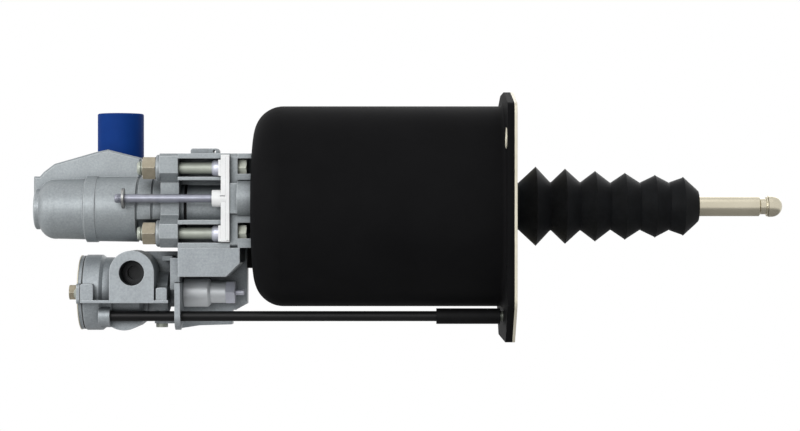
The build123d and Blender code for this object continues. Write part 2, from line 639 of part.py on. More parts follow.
def make_air_piston():
    """Cast piston with a hub, a web and a rim with two grooves."""
    rim_r = PISTON_R - PISTON_RIM_T
    floor_r = PISTON_R - PISTON_GROOVE_D
    seal_x = RIM_BACK_X + PISTON_LAND_L
    ring_x = seal_x + PISTON_SEAL_L + PISTON_LAND_L
    piston = turned([
        (PISTON_FRONT_X, 0), (PISTON_FRONT_X, PISTON_HUB_R), (WEB_FRONT_X, PISTON_HUB_R + 3),
        (WEB_FRONT_X, rim_r),
        (RIM_FRONT_X, rim_r), (RIM_FRONT_X, PISTON_R), (ring_x + PISTON_RING_L, PISTON_R),
        (ring_x + PISTON_RING_L, floor_r), (ring_x, floor_r), (ring_x, PISTON_R),
        (seal_x + PISTON_SEAL_L, PISTON_R), (seal_x + PISTON_SEAL_L, floor_r), (seal_x, floor_r),
        (seal_x, PISTON_R), (RIM_BACK_X, PISTON_R), (RIM_BACK_X, rim_r), (WEB_BACK_X, rim_r),
        (WEB_BACK_X, PISTON_HUB_R + 3), (PISTON_BACK_X, PISTON_HUB_R), (PISTON_BACK_X, 0),
    ])
    piston -= rod_x(PISTON_FRONT_X - ROD_SOCKET_L, PISTON_FRONT_X + 1, ROD_R + FIT_GAP)
    piston -= rod_x(PISTON_BACK_X - 1, PLUNGER_FRONT_X, PLUNGER_R + FIT_GAP, 0, HYD_Z)
    piston -= rod_x(WEB_BACK_X - 1, WEB_FRONT_X + 1, IND_ROD_R + FIT_GAP, IND_Y, IND_Z)
    return piston


def rim_band(x0, length):
    """Ring in a groove of the piston rim, clear of the shell bore."""
    return tube_x(x0, x0 + length, SHELL_BORE_R - SLIDE_GAP, PISTON_R - PISTON_GROOVE_D)


def make_piston_seal():
    """Lip seal in the rear groove: a body and a lip that opens to the rear."""
    x0 = RIM_BACK_X + PISTON_LAND_L
    x1 = x0 + PISTON_SEAL_L
    inner = PISTON_R - PISTON_GROOVE_D
    outer = SHELL_BORE_R - SLIDE_GAP
    notch = 0.4 * (outer - inner)
    return turned([(x0, inner), (x1, inner), (x1, outer - 0.4), (x0, outer), (x0, outer - notch),
                   (x0 + 0.6 * PISTON_SEAL_L, outer - 1.4 * notch), (x0, inner + 0.6 * notch)])


def make_piston_ring():
    """Guide ring in the front groove."""
    return rim_band(RIM_BACK_X + 2 * PISTON_LAND_L + PISTON_SEAL_L, PISTON_RING_L)


def coil(x0, x1, radius, wire_r, turns, y=0.0, z=0.0):
    """Round-wire spring along X that fills the space between two X values."""
    start = x0 + wire_r + FIT_GAP
    length = x1 - x0 - 2 * (wire_r + FIT_GAP)
    path = Helix(length / turns, length, radius)
    profile = Plane(origin=path @ 0, z_dir=path % 0) * Circle(wire_r)
    return Pos(start, y, z) * Rot(0, 90, 0) * sweep(profile, path=path, is_frenet=True)


def make_return_spring():
    """Spring between the shell and the air piston."""
    return coil(REAR_INNER_X + SEAT_T, WEB_BACK_X, SPRING_R, SPRING_WIRE_R, SPRING_TURNS)


def make_spring_seat():
    """Pressed ring that holds the spring on the rear wall."""
    inner = SPRING_R - SPRING_WIRE_R - 0.5
    outer = SPRING_R + SPRING_WIRE_R + 0.8
    back = REAR_INNER_X
    return turned([(back, inner - SEAT_T), (back, outer), (back + SEAT_T, outer), (back + SEAT_T, inner),
                   (back + SEAT_LIP_H, inner), (back + SEAT_LIP_H, inner - SEAT_T)])


def make_plunger():
    """Hydraulic plunger: a ground rod with a piston head."""
    return turned([(PLUNGER_FRONT_X, 0), (PLUNGER_FRONT_X, PLUNGER_R), (HEAD_RIGHT_X, PLUNGER_R),
                   (HEAD_RIGHT_X, HYD_BORE_R - SHAFT_GAP), (HEAD_LEFT_X, HYD_BORE_R - SHAFT_GAP),
                   (HEAD_LEFT_X, CUP_PIN_R), (CUP_LEFT_X, CUP_PIN_R), (CUP_LEFT_X, 0)], 0, HYD_Z)


def make_cup():
    """Rubber cup on the plunger head, hollow to the pressure side."""
    x0 = CUP_LEFT_X
    x1 = HEAD_LEFT_X
    outer = HYD_BORE_R - SHAFT_GAP
    inner = CUP_PIN_R + FIT_GAP
    return turned([(x1, inner), (x1, outer - 0.5), (x0, outer), (x0, outer - 1.2),
                   (x1 - 1.5, outer - 2.4), (x1 - 1.5, inner + 1.0), (x0, inner + 1.0), (x0, inner)], 0,
                   HYD_Z)


# Hydraulic cylinder
def hyd_outline():
    """Outer form of the hydraulic cylinder, turned about its axis."""
    shoulder_r = HYD_BARREL_R - HYD_NOSE_R
    face_end = HYD_END_X + NOSE_FACE_L
    shoulder_end = HYD_END_X + SHOULDER_L
    band = HYD_END_X + BAND_X_FROM_END
    rear = HYD_END_X + REAR_X_FROM_END
    seam = rear + COLLAR_L
    with BuildPart() as casting:
        with BuildSketch(Plane.XZ):
            with BuildLine():
                Polyline((HYD_END_X, 0), (HYD_END_X, HYD_NOSE_R - 0.6), (HYD_END_X + 0.6, HYD_NOSE_R),
                         (face_end, HYD_NOSE_R))
                ThreePointArc((face_end, HYD_NOSE_R),
                              (face_end + 0.36 * (shoulder_end - face_end), HYD_NOSE_R + 0.72 * shoulder_r),
                              (shoulder_end, HYD_BARREL_R - 0.2))
                Polyline((shoulder_end, HYD_BARREL_R - 0.2), (band, HYD_BARREL_R + 0.2),
                         (band + 0.8, HYD_BAND_R), (band + BAND_L, HYD_BAND_R),
                         (band + BAND_L + 0.6, HYD_REAR_R - 0.2), (rear - 0.6, HYD_REAR_R + 0.2),
                         (rear, HYD_REAR_R - SEAM_D), (rear + SEAM_W, COLLAR_R - SEAM_D),
                         (rear + 2 * SEAM_W, COLLAR_R), (seam - SEAM_W, COLLAR_R),
                         (seam, COLLAR_R - SEAM_D),
                         (seam + SEAM_W, COLLAR_ROOT_R - SEAM_D), (seam + 2 * SEAM_W, COLLAR_ROOT_R),
                         (LUG_LEFT_X, COLLAR_ROOT_R), (LUG_LEFT_X, 0), (HYD_END_X, 0))
            make_face()
        revolve(axis=Axis.X)
    return Pos(0, 0, HYD_Z) * casting.part


def lug_flange():
    """Flange with four corner lugs and set-back sides."""
    side = [(CAGE_HALF_W - 2.0, CAGE_TOP_Z), (CAGE_HALF_W, CAGE_TOP_Z - 1.6),
            (CAGE_HALF_W, LUG_TOP_EDGE_Z), (LUG_WAIST_Y, LUG_TOP_EDGE_Z - LUG_SLOPE),
            (LUG_WAIST_Y, LUG_BOTTOM_EDGE_Z + LUG_SLOPE), (CAGE_HALF_W, LUG_BOTTOM_EDGE_Z),
            (CAGE_HALF_W, CAGE_BOTTOM_Z + 5.6), (CAGE_HALF_W - 5.5, CAGE_BOTTOM_Z)]
    outline = side + [(-y, z) for y, z in reversed(side)]
    return prism_x(outline, LUG_LEFT_X, LUG_RIGHT_X)


def make_hydraulic_cylinder():
    """Cast cylinder with its fin, inlet boss, lugs, spigot and bores."""
    casting = hyd_outline() + lug_flange()
    fin_points = [(HYD_END_X + x, z) for x, z in FIN_OUTLINE]
    fin = prism_y(fin_points + [(fin_points[-1][0], HYD_Z), (fin_points[0][0], HYD_Z)], -FIN_T / 2,
                  FIN_T / 2)
    casting += chamfer(fin.faces().sort_by(Axis.Y)[0].edges(), FIN_BEVEL)
    casting += rod_z(HYD_Z, INLET_TOP_Z, INLET_BOSS_R, INLET_X, INLET_Y)
    casting += Pos(INLET_X, INLET_Y, HYD_Z) * Sphere(INLET_BOSS_R)
    casting += rod_x(LUG_RIGHT_X, SPIGOT_RIGHT_X, SPIGOT_R, 0, HYD_Z)
    casting += rod_x(SPIGOT_RIGHT_X, PILOT_RIGHT_X, PILOT_R, 0, HYD_Z)
    casting -= rod_x(HYD_BORE_END_X, GLAND_LEFT_X, HYD_BORE_R, 0, HYD_Z)
    casting -= rod_x(GLAND_LEFT_X - 1, PILOT_RIGHT_X + 1, GLAND_R + FIT_GAP, 0, HYD_Z)
    casting -= rod_z(HYD_Z, INLET_TOP_Z + 1, INLET_BORE_R, INLET_X, INLET_Y)
    passage_x = HYD_BORE_END_X + PASSAGE_R + 0.6
    passage_y = (HYD_BORE_R + HYD_BARREL_R) / 2 - 0.6
    casting -= rod_x(passage_x, INLET_X, PASSAGE_R, passage_y, HYD_Z)
    casting -= rod_y(0, passage_y, PASSAGE_R, passage_x, HYD_Z)
    for y, z in CAGE_BOLTS:
        casting -= rod_x(LUG_LEFT_X - 1, LUG_RIGHT_X + 1, BOLT_R + BOLT_HOLE_GAP, y, z)
        casting -= rod_x(BOLT_END_X - 1, LUG_LEFT_X, WASHER_R + NUT_ROOM, y, z)
    return casting


def make_gland():
    """Bronze bush that carries the plunger."""
    return tube_x(GLAND_LEFT_X, GLAND_RIGHT_X, GLAND_R, PLUNGER_R + SHAFT_GAP, 0, HYD_Z)


def make_gland_ring():
    """Rubber ring in the groove between the hydraulic cylinder and the cage."""
    edge = GLAND_RING_T / 4
    left, right = SPIGOT_RIGHT_X, CAGE_TUBE_LEFT_X
    outer = SPIGOT_R - 0.4
    return turned([(left, PILOT_R + FIT_GAP), (right, PILOT_R + FIT_GAP), (right, outer - edge),
                   (right - edge, outer), (left + edge, outer), (left, outer - edge)], 0, HYD_Z)


def make_port_cap():
    """Moulded dust cap on the hydraulic inlet."""
    cap = fillet(rod_z(CAP_BOTTOM_Z, CAP_TOP_Z, CAP_R, INLET_X, INLET_Y).edges(), 1.0)
    cap -= rod_z(CAP_BOTTOM_Z - 1, INLET_TOP_Z + SLIDE_GAP, INLET_BOSS_R + SLIDE_GAP, INLET_X, INLET_Y)
    return cap - rod_z(INLET_TOP_Z, CAP_TOP_Z - CAP_WALL, INLET_BOSS_R - CAP_WALL, INLET_X, INLET_Y)


# Cage
def cage_walls(x0, x1, spans):
    """Full-width walls seen edge-on from the front, from a list of bottom and top heights."""
    walls = Part()
    for bottom, top in spans:
        walls += block(x0, x1, -CAGE_HALF_W, CAGE_HALF_W, bottom, top)
    return walls


def make_cage():
    """Cast cage that joins the hydraulic cylinder to the shell."""
    cage = prism_x([(CAGE_HALF_W, CAGE_BOTTOM_Z + 2), (CAGE_HALF_W, CAGE_TOP_Z - 2),
                    (CAGE_HALF_W - 2, CAGE_TOP_Z), (2 - CAGE_HALF_W, CAGE_TOP_Z),
                    (-CAGE_HALF_W, CAGE_TOP_Z - 2), (-CAGE_HALF_W, CAGE_BOTTOM_Z + 2),
                    (2 - CAGE_HALF_W, CAGE_BOTTOM_Z), (CAGE_HALF_W - 2, CAGE_BOTTOM_Z)],
                   CAGE_PLATE_LEFT_X, CAGE_PLATE_RIGHT_X)
    cage += cage_walls(LUG_RIGHT_X, CAGE_PLATE_LEFT_X, [
        (CAGE_TOP_Z - CAGE_WALL, CAGE_TOP_Z), (CAGE_WEB_TOP_Z, CAGE_WEB_TOP_Z + CAGE_WEB_TOP_T),
        (CAGE_WEB_BOTTOM_Z, CAGE_WEB_BOTTOM_Z + CAGE_WEB_BOTTOM_T),
        (CAGE_BOTTOM_Z, CAGE_BOTTOM_Z + CAGE_WALL)])
    cage += cage_walls(CAGE_PLATE_RIGHT_X, CAGE_RIGHT_X, [
        (CAGE_TOP_Z - CAGE_WALL, CAGE_TOP_Z), (REAR_WEB_TOP_Z, REAR_WEB_TOP_Z + REAR_WEB_TOP_T),
        (REAR_WEB_BOTTOM_Z, REAR_WEB_BOTTOM_Z + REAR_WEB_BOTTOM_T),
        (CAGE_BOTTOM_Z, CAGE_BOTTOM_Z + REAR_BOTTOM_T)])
    core = CAGE_CORE_HALF_W
    cage += block(LUG_RIGHT_X, CAGE_RIGHT_X, -core, core, CAGE_BOTTOM_Z, CAGE_TOP_Z)
    cage += rod_x(CAGE_TUBE_LEFT_X, CAGE_RIGHT_X, SPIGOT_R, 0, HYD_Z)
    cage += rod_x(CAGE_PLATE_RIGHT_X, CAGE_RIGHT_X, IND_HUB_R, IND_Y, IND_Z)
    cage += block(CAGE_PLATE_LEFT_X, CAGE_PLATE_RIGHT_X, BRACKET_FRONT_Y, IND_Y,
                  IND_Z - IND_PAD_HALF_H, IND_Z + IND_PAD_HALF_H)
    side_y, side_z = SHELL_SCREWS[2]
    cage += rod_x(CAGE_PLATE_LEFT_X, CAGE_RIGHT_X, SIDE_BOSS_R, side_y, side_z)
    cage += top_lug()
    cage -= rod_x(LUG_RIGHT_X - 1, CAGE_TUBE_LEFT_X, SPIGOT_R + SPIGOT_GAP, 0, HYD_Z)
    cage -= rod_x(CAGE_TUBE_LEFT_X - 1, PILOT_RIGHT_X + SLIDE_GAP, PILOT_R + FIT_GAP, 0, HYD_Z)
    cage -= rod_x(PILOT_RIGHT_X, CAGE_RIGHT_X + 1, PLUNGER_R + 1.0, 0, HYD_Z)
    cage -= rod_x(AIR_SEAL_LEFT_X, CAGE_RIGHT_X + 1, AIR_SEAL_R + FIT_GAP, 0, HYD_Z)
    cage -= rod_x(CAGE_PLATE_LEFT_X - 1, CAGE_RIGHT_X + 1, IND_ROD_R + SHAFT_GAP, IND_Y, IND_Z)
    for y, z in CAGE_BOLTS:
        cage -= rod_x(CAGE_PLATE_LEFT_X - 1, CAGE_PLATE_RIGHT_X + 1, BOLT_R + BOLT_HOLE_GAP, y, z)
        cage -= rod_x(CAGE_PLATE_RIGHT_X, CAGE_RIGHT_X + 1, BOLT_SPOT_R, y, z)
    for y, z in SHELL_SCREWS:
        cage -= rod_x(REAR_INNER_X - SHELL_SCREW_L - 0.5, CAGE_RIGHT_X + 1, SHELL_SCREW_R + FIT_GAP, y, z)
    for x, y in BLOCK_SCREWS:
        cage -= rod_z(CAGE_BOTTOM_Z - 1, CAGE_BOTTOM_Z + CAGE_WALL + 1, BLOCK_SCREW_R + FIT_GAP, x, y)
    return cage


def top_lug():
    """Low lug on top of the cage, with rounded ends and a cross hole."""
    left = LUG_RIGHT_X + 5.5
    pill = block(left, left + TOP_LUG_L, -TOP_LUG_W / 2, TOP_LUG_W / 2, CAGE_TOP_Z, CAGE_TOP_Z + TOP_LUG_H)
    pill = fillet(pill.edges().filter_by(Axis.Y).group_by(Axis.Z)[-1], 1.5)
    return pill - rod_y(-TOP_LUG_W, TOP_LUG_W, 0.9, left + TOP_LUG_L - 2.6, CAGE_TOP_Z + TOP_LUG_H / 2)


def make_air_seal():
    """Rubber seal round the plunger where it enters the shell."""
    return tube_x(AIR_SEAL_LEFT_X, CAGE_RIGHT_X, AIR_SEAL_R, PLUNGER_R + SHAFT_GAP, 0, HYD_Z)


def cage_bolt(y, z):
    """One waisted bolt, head at the shell side."""
    bolt = turned([(BOLT_END_X, 0), (BOLT_END_X, BOLT_R - 0.8), (BOLT_END_X + 0.8, BOLT_R),
                   (LUG_RIGHT_X - 1, BOLT_R), (LUG_RIGHT_X, BOLT_WAIST_R), (LOBE_LEFT_X, BOLT_WAIST_R),
                   (LOBE_LEFT_X + 0.5, BOLT_R), (CAGE_PLATE_RIGHT_X, BOLT_R), (CAGE_PLATE_RIGHT_X, 0)],
                   y, z)
    return bolt + hexagon_x(CAGE_PLATE_RIGHT_X, CAGE_PLATE_RIGHT_X + BOLT_HEAD_H, BOLT_HEAD_AF, y, z)


def make_cage_bolts():
    """Four bolts through the cage and the lugs."""
    return group(cage_bolt(y, z) for y, z in CAGE_BOLTS)


def make_cage_nuts():
    """Nuts of the four bolts."""
    nut = [hexagon_x(NUT_LEFT_X, NUT_LEFT_X + NUT_H, NUT_AF, y, z)
           - rod_x(NUT_LEFT_X - 1, NUT_LEFT_X + NUT_H + 1, BOLT_R + FIT_GAP, y, z) for y, z in CAGE_BOLTS]
    return group(nut)


def make_bolt_washers():
    """Thick washers under the nuts."""
    x0 = LUG_LEFT_X - WASHER_T
    edge = 0.7
    return group(turned([(x0, BOLT_R + FIT_GAP), (x0, WASHER_R - edge), (x0 + edge, WASHER_R),
                         (LUG_LEFT_X, WASHER_R), (LUG_LEFT_X, BOLT_R + FIT_GAP)], y,
                         z) for y, z in CAGE_BOLTS)


def make_shell_screws():
    """Screws inside the shell that hold it to the cage."""
    head_x = REAR_INNER_X + SHELL_SCREW_HEAD_H
    socket = [(head_x, 0), (head_x, SHELL_SCREW_HEAD_R), (REAR_INNER_X, SHELL_SCREW_HEAD_R),
              (REAR_INNER_X, SHELL_SCREW_R), (REAR_INNER_X - SHELL_SCREW_L, SHELL_SCREW_R),
              (REAR_INNER_X - SHELL_SCREW_L, 0)]
    key = SHELL_SCREW_R * 1.6
    return group(turned(socket, y, z) - hexagon_x(head_x - 2.5, head_x + 1, key, y, z, False)
                 for y, z in SHELL_SCREWS)


# Travel indicator
def front_bolts():
    """Places of the two cage bolts on the indicator's side."""
    return [(y, z) for y, z in CAGE_BOLTS if y < 0]


def make_bracket():
    """Bracket on the front bolts that guides the indicator rod."""
    back_y = BRACKET_BACK_Y
    bracket = block(BRACKET_LEFT_X, BRACKET_RIGHT_X, BRACKET_FRONT_Y, -CAGE_HALF_W,
                    BRACKET_BOTTOM_Z, BRACKET_TOP_Z)
    bracket = fillet(bracket.edges().filter_by(Axis.X), BRACKET_ROUND)
    bracket += block(BRACKET_RIGHT_X - BRACKET_LIP_W, BRACKET_RIGHT_X, BRACKET_FRONT_Y - BRACKET_LIP_T,
                     BRACKET_FRONT_Y + 1, BRACKET_BOTTOM_Z + BRACKET_ROUND,
                     BRACKET_TOP_Z - BRACKET_ROUND)
    for y, z in front_bolts():
        bracket += block(LOBE_LEFT_X, BRACKET_RIGHT_X, BRACKET_FRONT_Y + 0.4, back_y,
                         z - BRACKET_LOBE_H / 2, z + BRACKET_LOBE_H / 2)
    bracket += rod_x(BRACKET_LEFT_X - BRACKET_BOSS_L, BRACKET_RIGHT_X, BRACKET_BOSS_R, IND_Y, IND_Z)
    for y, z in front_bolts():
        bracket -= rod_x(LOBE_LEFT_X - 1, BRACKET_RIGHT_X + 1, BOLT_R + BOLT_HOLE_GAP, y, z)
    bracket -= rod_x(BRACKET_LEFT_X - BRACKET_BOSS_L - 1, BRACKET_RIGHT_X + 1, IND_ROD_R + SHAFT_GAP,
                     IND_Y, IND_Z)
    slot_z = IND_Z + 1.4
    return bracket - block(BRACKET_LEFT_X - 0.5, BRACKET_LEFT_X + 2.6, BRACKET_FRONT_Y - 0.5,
                           BRACKET_FRONT_Y + 0.5, slot_z - 0.3, slot_z + 0.3)


def make_bracket_washers():
    """Rounded washers between the bracket and the waist of the front bolts."""
    x1 = LOBE_LEFT_X
    x0 = x1 - BRACKET_WASHER_T
    dome = [(0.0, 1.5), (0.3, 1.0), (0.9, 0.5), (1.8, 0.15), (2.6, 0.0)]
    outer = [(x0 + along, BRACKET_WASHER_R - drop) for along, drop in dome]
    return group(turned([(x0, BOLT_WAIST_R + FIT_GAP)] + outer
                        + [(x1, BRACKET_WASHER_R), (x1, BOLT_WAIST_R + FIT_GAP)], y,
                        z) for y, z in front_bolts())


def make_indicator_rod():
    """Rod that follows the air piston and shows clutch wear."""
    groove = IND_ROD_R - 0.5
    clip_x = IND_END_X + IND_CLIP_INSET
    rod = turned([(IND_END_X, 0), (IND_END_X, IND_ROD_R - 0.5), (IND_END_X + 0.5, IND_ROD_R),
                  (clip_x, IND_ROD_R), (clip_x, groove), (clip_x + IND_CLIP_T, groove),
                  (clip_x + IND_CLIP_T, IND_ROD_R), (WEB_FRONT_X, IND_ROD_R), (WEB_FRONT_X, 0)], IND_Y,
                  IND_Z)
    return rod


def make_indicator_clip():
    """Ring in the groove near the rod's end."""
    x0 = IND_END_X + IND_CLIP_INSET + FIT_GAP
    return tube_x(x0, x0 + IND_CLIP_T - 2 * FIT_GAP, IND_CLIP_R, IND_ROD_R - 0.5 + FIT_GAP, IND_Y, IND_Z)


def make_indicator_seal():
    """Rubber seal round the indicator rod in the rear wall."""
    return tube_x(REAR_X, REAR_INNER_X, IND_SEAL_R, IND_ROD_R + SHAFT_GAP, IND_Y, IND_Z)


# Control valve
def make_valve_body():
    """Cast valve body with its head, port pad, rib, exhaust boss and neck."""
    body = turned([
        (VALVE_FACE_X, 0), (VALVE_FACE_X, HEAD_R - 0.8), (VALVE_FACE_X + 0.8, HEAD_R),
        (HEAD_RIGHT_FACE_X, HEAD_R),
        (BARREL_LEFT_X, VALVE_BARREL_R), (BARREL_RIGHT_X - 2, VALVE_BARREL_R),
        (BARREL_RIGHT_X, VALVE_BARREL_R - 2),
        (BARREL_RIGHT_X, WAIST_R), (NECK_LEFT_X, WAIST_R), (NECK_LEFT_X + 1, NECK_R),
        (NECK_END_X - 1.5, NECK_R),
        (NECK_END_X, NECK_R - 1.5), (NECK_END_X, NECK_COLLAR_R), (NECK_COLLAR_END_X, NECK_COLLAR_R),
        (NECK_COLLAR_END_X, 0)], VALVE_Y, VALVE_Z)
    body += rod_y(PORT_FACE_Y, VALVE_Y, PORT_PAD_R, PORT_X, PORT_Z)
    body += block(PORT_X - PORT_PAD_R, PORT_X + PORT_PAD_R, PORT_FACE_Y, VALVE_Y, PORT_PAD_BOTTOM_Z, PORT_Z)
    body += block(VALVE_FACE_X, RIB_RIGHT_X, PORT_FACE_Y, RIB_BACK_Y, PORT_PAD_BOTTOM_Z - RIB_T,
                  PORT_PAD_BOTTOM_Z)
    left_gap, left_l, left_h = LEFT_BOSS
    right_gap, right_l, right_h = RIGHT_BOSS
    for start, length, height in ((VALVE_FACE_X + left_gap, left_l, left_h),
                                  (RIB_RIGHT_X - right_gap - right_l, right_l, right_h)):
        boss = block(start, start + length, PORT_FACE_Y + 0.5, RIB_BACK_Y, PORT_PAD_BOTTOM_Z,
                     PORT_PAD_BOTTOM_Z + height)
        body += fillet(boss.edges().filter_by(Axis.Y).group_by(Axis.Z)[-1], 1.2)
    body += rod_x(HEAD_RIGHT_FACE_X, HEAD_RIGHT_FACE_X + TUBE_BOSS_L, TUBE_BOSS_R, TUBE_Y, TUBE_Z)
    back_boss = block(VALVE_FACE_X, VALVE_FACE_X + left_l, VALVE_Y, 2 * VALVE_Y - PORT_FACE_Y,
                      VALVE_Z - EAR_H / 2, VALVE_Z + EAR_H / 2)
    body += fillet(back_boss.edges().filter_by(Axis.X).group_by(Axis.Y)[-1], 2.0)
    body += rod_y(EXHAUST_FRONT_Y, EXHAUST_BACK_Y, EXHAUST_R, EXHAUST_X, EXHAUST_Z)
    body += bridge()
    body += rod_z(CLIP_FOOT_TOP_Z, VALVE_Z, CLIP_SCREW_BOSS_R, CLIP_SCREW_X, CLIP_SCREW_Y)
    return body - valve_bores()


def bridge():
    """Web that joins the valve body to the transfer block, with a rib and a post beside the block."""
    web = block(BARREL_RIGHT_X - 4, BLOCK_LEFT_X, BRIDGE_BACK_Y - BRIDGE_T, BRIDGE_BACK_Y, VALVE_Z,
                BRIDGE_TOP_Z)
    post_left = BLOCK_LEFT_X - POST_W
    rib_top = BRIDGE_TOP_Z - POST_DROP + BRIDGE_RIB_T / 3
    web += block(post_left - BRIDGE_RIB_L, post_left, BRIDGE_RIB_FRONT_Y, BRIDGE_BACK_Y,
                 rib_top - BRIDGE_RIB_T, rib_top)
    web += block(post_left, BLOCK_LEFT_X, POST_FRONT_Y, BRIDGE_BACK_Y, VALVE_Z + POST_RISE,
                 BRIDGE_TOP_Z - POST_DROP)
    return web - block(CLIP_X - SLIDE_GAP, CLIP_X + CLIP_T + SLIDE_GAP, TUBE_Y - CLIP_R - 1,
                       TUBE_Y + CLIP_R + SLIDE_GAP, VALVE_Z, CLIP_TOP_Z + SLIDE_GAP)


def valve_bores():
    """Chambers, bores and ports of the valve body."""
    y, z = VALVE_Y, VALVE_Z
    cuts = rod_x(VALVE_FACE_X - 1, AIR_CHAMBER_RIGHT_X, AIR_CHAMBER_R, y, z)
    cuts += rod_x(AIR_CHAMBER_RIGHT_X - 1, OUT_CHAMBER_RIGHT_X, OUT_CHAMBER_R, y, z)
    cuts += rod_x(OUT_CHAMBER_RIGHT_X - 1, RELAY_RIGHT_X + SLIDE_GAP, RELAY_R, y, z)
    cuts += rod_x(RELAY_RIGHT_X, RELAY_RIGHT_X + 8, RELAY_R - 1.2, y, z)
    cuts += rod_x(RELAY_RIGHT_X + 7, NECK_COLLAR_END_X + 1, BLEED_STEM_R + FIT_GAP, y, z)
    cuts += rod_y(PORT_FACE_Y - 1, PORT_BACK_Y, PORT_R, PORT_X, PORT_Z)
    cuts += rod_y(PORT_BACK_Y - 1, PORT_BACK_Y + PORT_CORE_L, PORT_CORE_R, PORT_X, PORT_Z)
    cuts += rod_x(AIR_CHAMBER_RIGHT_X - 6, PORT_X, PORT_DRILL_R, PORT_BACK_Y - PORT_DRILL_R - 0.5,
                  PORT_Z - 4.5)
    cuts += rod_y(OUT_CHAMBER_R + y - 4, EXHAUST_BACK_Y + 1, EXHAUST_BORE_R, EXHAUST_X, EXHAUST_Z)
    cuts += rod_x(TUBE_LEFT_X, BARREL_LEFT_X + 4, TUBE_R + FIT_GAP, TUBE_Y, TUBE_Z)
    cuts += rod_x(BARREL_LEFT_X + 4, BARREL_RIGHT_X + 1, TUBE_R + SLIDE_GAP, TUBE_Y, TUBE_Z)
    cuts += rod_x(TUBE_LEFT_X - 2, TUBE_LEFT_X + 1, TUBE_BORE_R, TUBE_Y, TUBE_Z)
    for screw_y in EAR_SCREW_Y:
        cuts += rod_x(VALVE_FACE_X - 1, VALVE_FACE_X + EAR_SCREW_L, SCREW_R + FIT_GAP, screw_y, VALVE_Z)
    cuts += rod_z(CLIP_FOOT_TOP_Z - 1, CLIP_FOOT_TOP_Z + CLIP_SCREW_L, SCREW_R + FIT_GAP, CLIP_SCREW_X,
                  CLIP_SCREW_Y)
    return cuts


def cover_outline(x0, x1):
    """Round slab with an ear at the front and one at the back."""
    slab = rod_x(x0, x1, HEAD_R - 0.6, VALVE_Y, VALVE_Z)
    ears = block(x0, x1, PORT_FACE_Y + 0.5, 2 * VALVE_Y - PORT_FACE_Y, VALVE_Z - EAR_H / 2,
                 VALVE_Z + EAR_H / 2)
    slab += fillet(ears.edges().filter_by(Axis.X), 2.5)
    for screw_y in EAR_SCREW_Y:
        slab -= rod_x(x0 - 1, x1 + 1, SCREW_R + FIT_GAP, screw_y, VALVE_Z)
    return slab


def make_valve_cover():
    """Cover of the valve with the guide of the inlet poppet."""
    cover = cover_outline(COVER_LEFT_X, COVER_LEFT_X + COVER_T)
    spigot_end = VALVE_FACE_X + COVER_SPIGOT_L
    cover += rod_x(COVER_HUB_LEFT_X, COVER_LEFT_X, COVER_HUB_R, VALVE_Y, VALVE_Z)
    cover += rod_x(COVER_LEFT_X + COVER_T, spigot_end, AIR_CHAMBER_R - FIT_GAP, VALVE_Y, VALVE_Z)
    guide_end = COVER_HUB_LEFT_X + COVER_BOLT_L + 1.2
    cover -= rod_x(guide_end, spigot_end + 1, POPPET_STEM_R + SHAFT_GAP, VALVE_Y, VALVE_Z)
    return cover - rod_x(COVER_HUB_LEFT_X - 1, COVER_HUB_LEFT_X + COVER_BOLT_L, COVER_BOLT_R + FIT_GAP,
                         VALVE_Y, VALVE_Z)


def make_cover_gasket():
    """Gasket under the valve cover."""
    gasket = cover_outline(COVER_LEFT_X + COVER_T, VALVE_FACE_X)
    return gasket - rod_x(COVER_LEFT_X, VALVE_FACE_X + 1, AIR_CHAMBER_R, VALVE_Y, VALVE_Z)


def make_cover_bolt():
    """Stop bolt in the middle of the cover."""
    seat = COVER_HUB_LEFT_X
    head_right = seat - COVER_WASHER_T
    shank = rod_x(seat, seat + COVER_BOLT_L, COVER_BOLT_R, VALVE_Y, VALVE_Z)
    washer = rod_x(head_right, seat, COVER_BOLT_AF * 0.56, VALVE_Y, VALVE_Z)
    return shank + washer + hexagon_x(head_right - COVER_BOLT_HEAD_H, head_right, COVER_BOLT_AF, VALVE_Y,
                                      VALVE_Z)


def make_cover_screws():
    """Two screws through the ears of the cover."""
    x0 = COVER_LEFT_X
    return group(turned([(x0 - 1.6, 0), (x0 - 1.6, SCREW_R), (x0, 1.9 * SCREW_R), (x0, SCREW_R),
                         (VALVE_FACE_X + EAR_SCREW_L, SCREW_R), (VALVE_FACE_X + EAR_SCREW_L, 0)],
                         screw_y, VALVE_Z)
                 for screw_y in EAR_SCREW_Y)


def make_valve_seat():
    """Brass seat that the inlet poppet closes on."""
    return turned([(SEAT_LEFT_X, SEAT_HOLE_R + 1.5), (SEAT_LEFT_X, AIR_CHAMBER_R - FIT_GAP),
                   (SEAT_RIGHT_X, AIR_CHAMBER_R - FIT_GAP), (SEAT_RIGHT_X, SEAT_HOLE_R),
                   (SEAT_LEFT_X + 0.5, SEAT_HOLE_R)], VALVE_Y, VALVE_Z)


def make_relay_piston():
    """Hydraulic relay piston with the stem that opens the inlet poppet."""
    groove_left = RELAY_RIGHT_X - RELAY_SEAL_L - 2.5
    groove_right = groove_left + RELAY_SEAL_L
    outer = RELAY_R - SHAFT_GAP
    floor = RELAY_R - 1.8
    return turned([(STEM_LEFT_X, 0), (STEM_LEFT_X, RELAY_STEM_R), (RELAY_LEFT_X, RELAY_STEM_R),
                   (RELAY_LEFT_X, outer), (groove_left, outer), (groove_left, floor), (groove_right, floor),
                   (groove_right, outer), (RELAY_RIGHT_X, outer), (RELAY_RIGHT_X, 0)], VALVE_Y, VALVE_Z)


def make_relay_seal():
    """Rubber ring in the groove of the relay piston."""
    groove_left = RELAY_RIGHT_X - RELAY_SEAL_L - 2.5
    return tube_x(groove_left, groove_left + RELAY_SEAL_L, RELAY_R - SHAFT_GAP, RELAY_R - 1.8, VALVE_Y,
                  VALVE_Z)


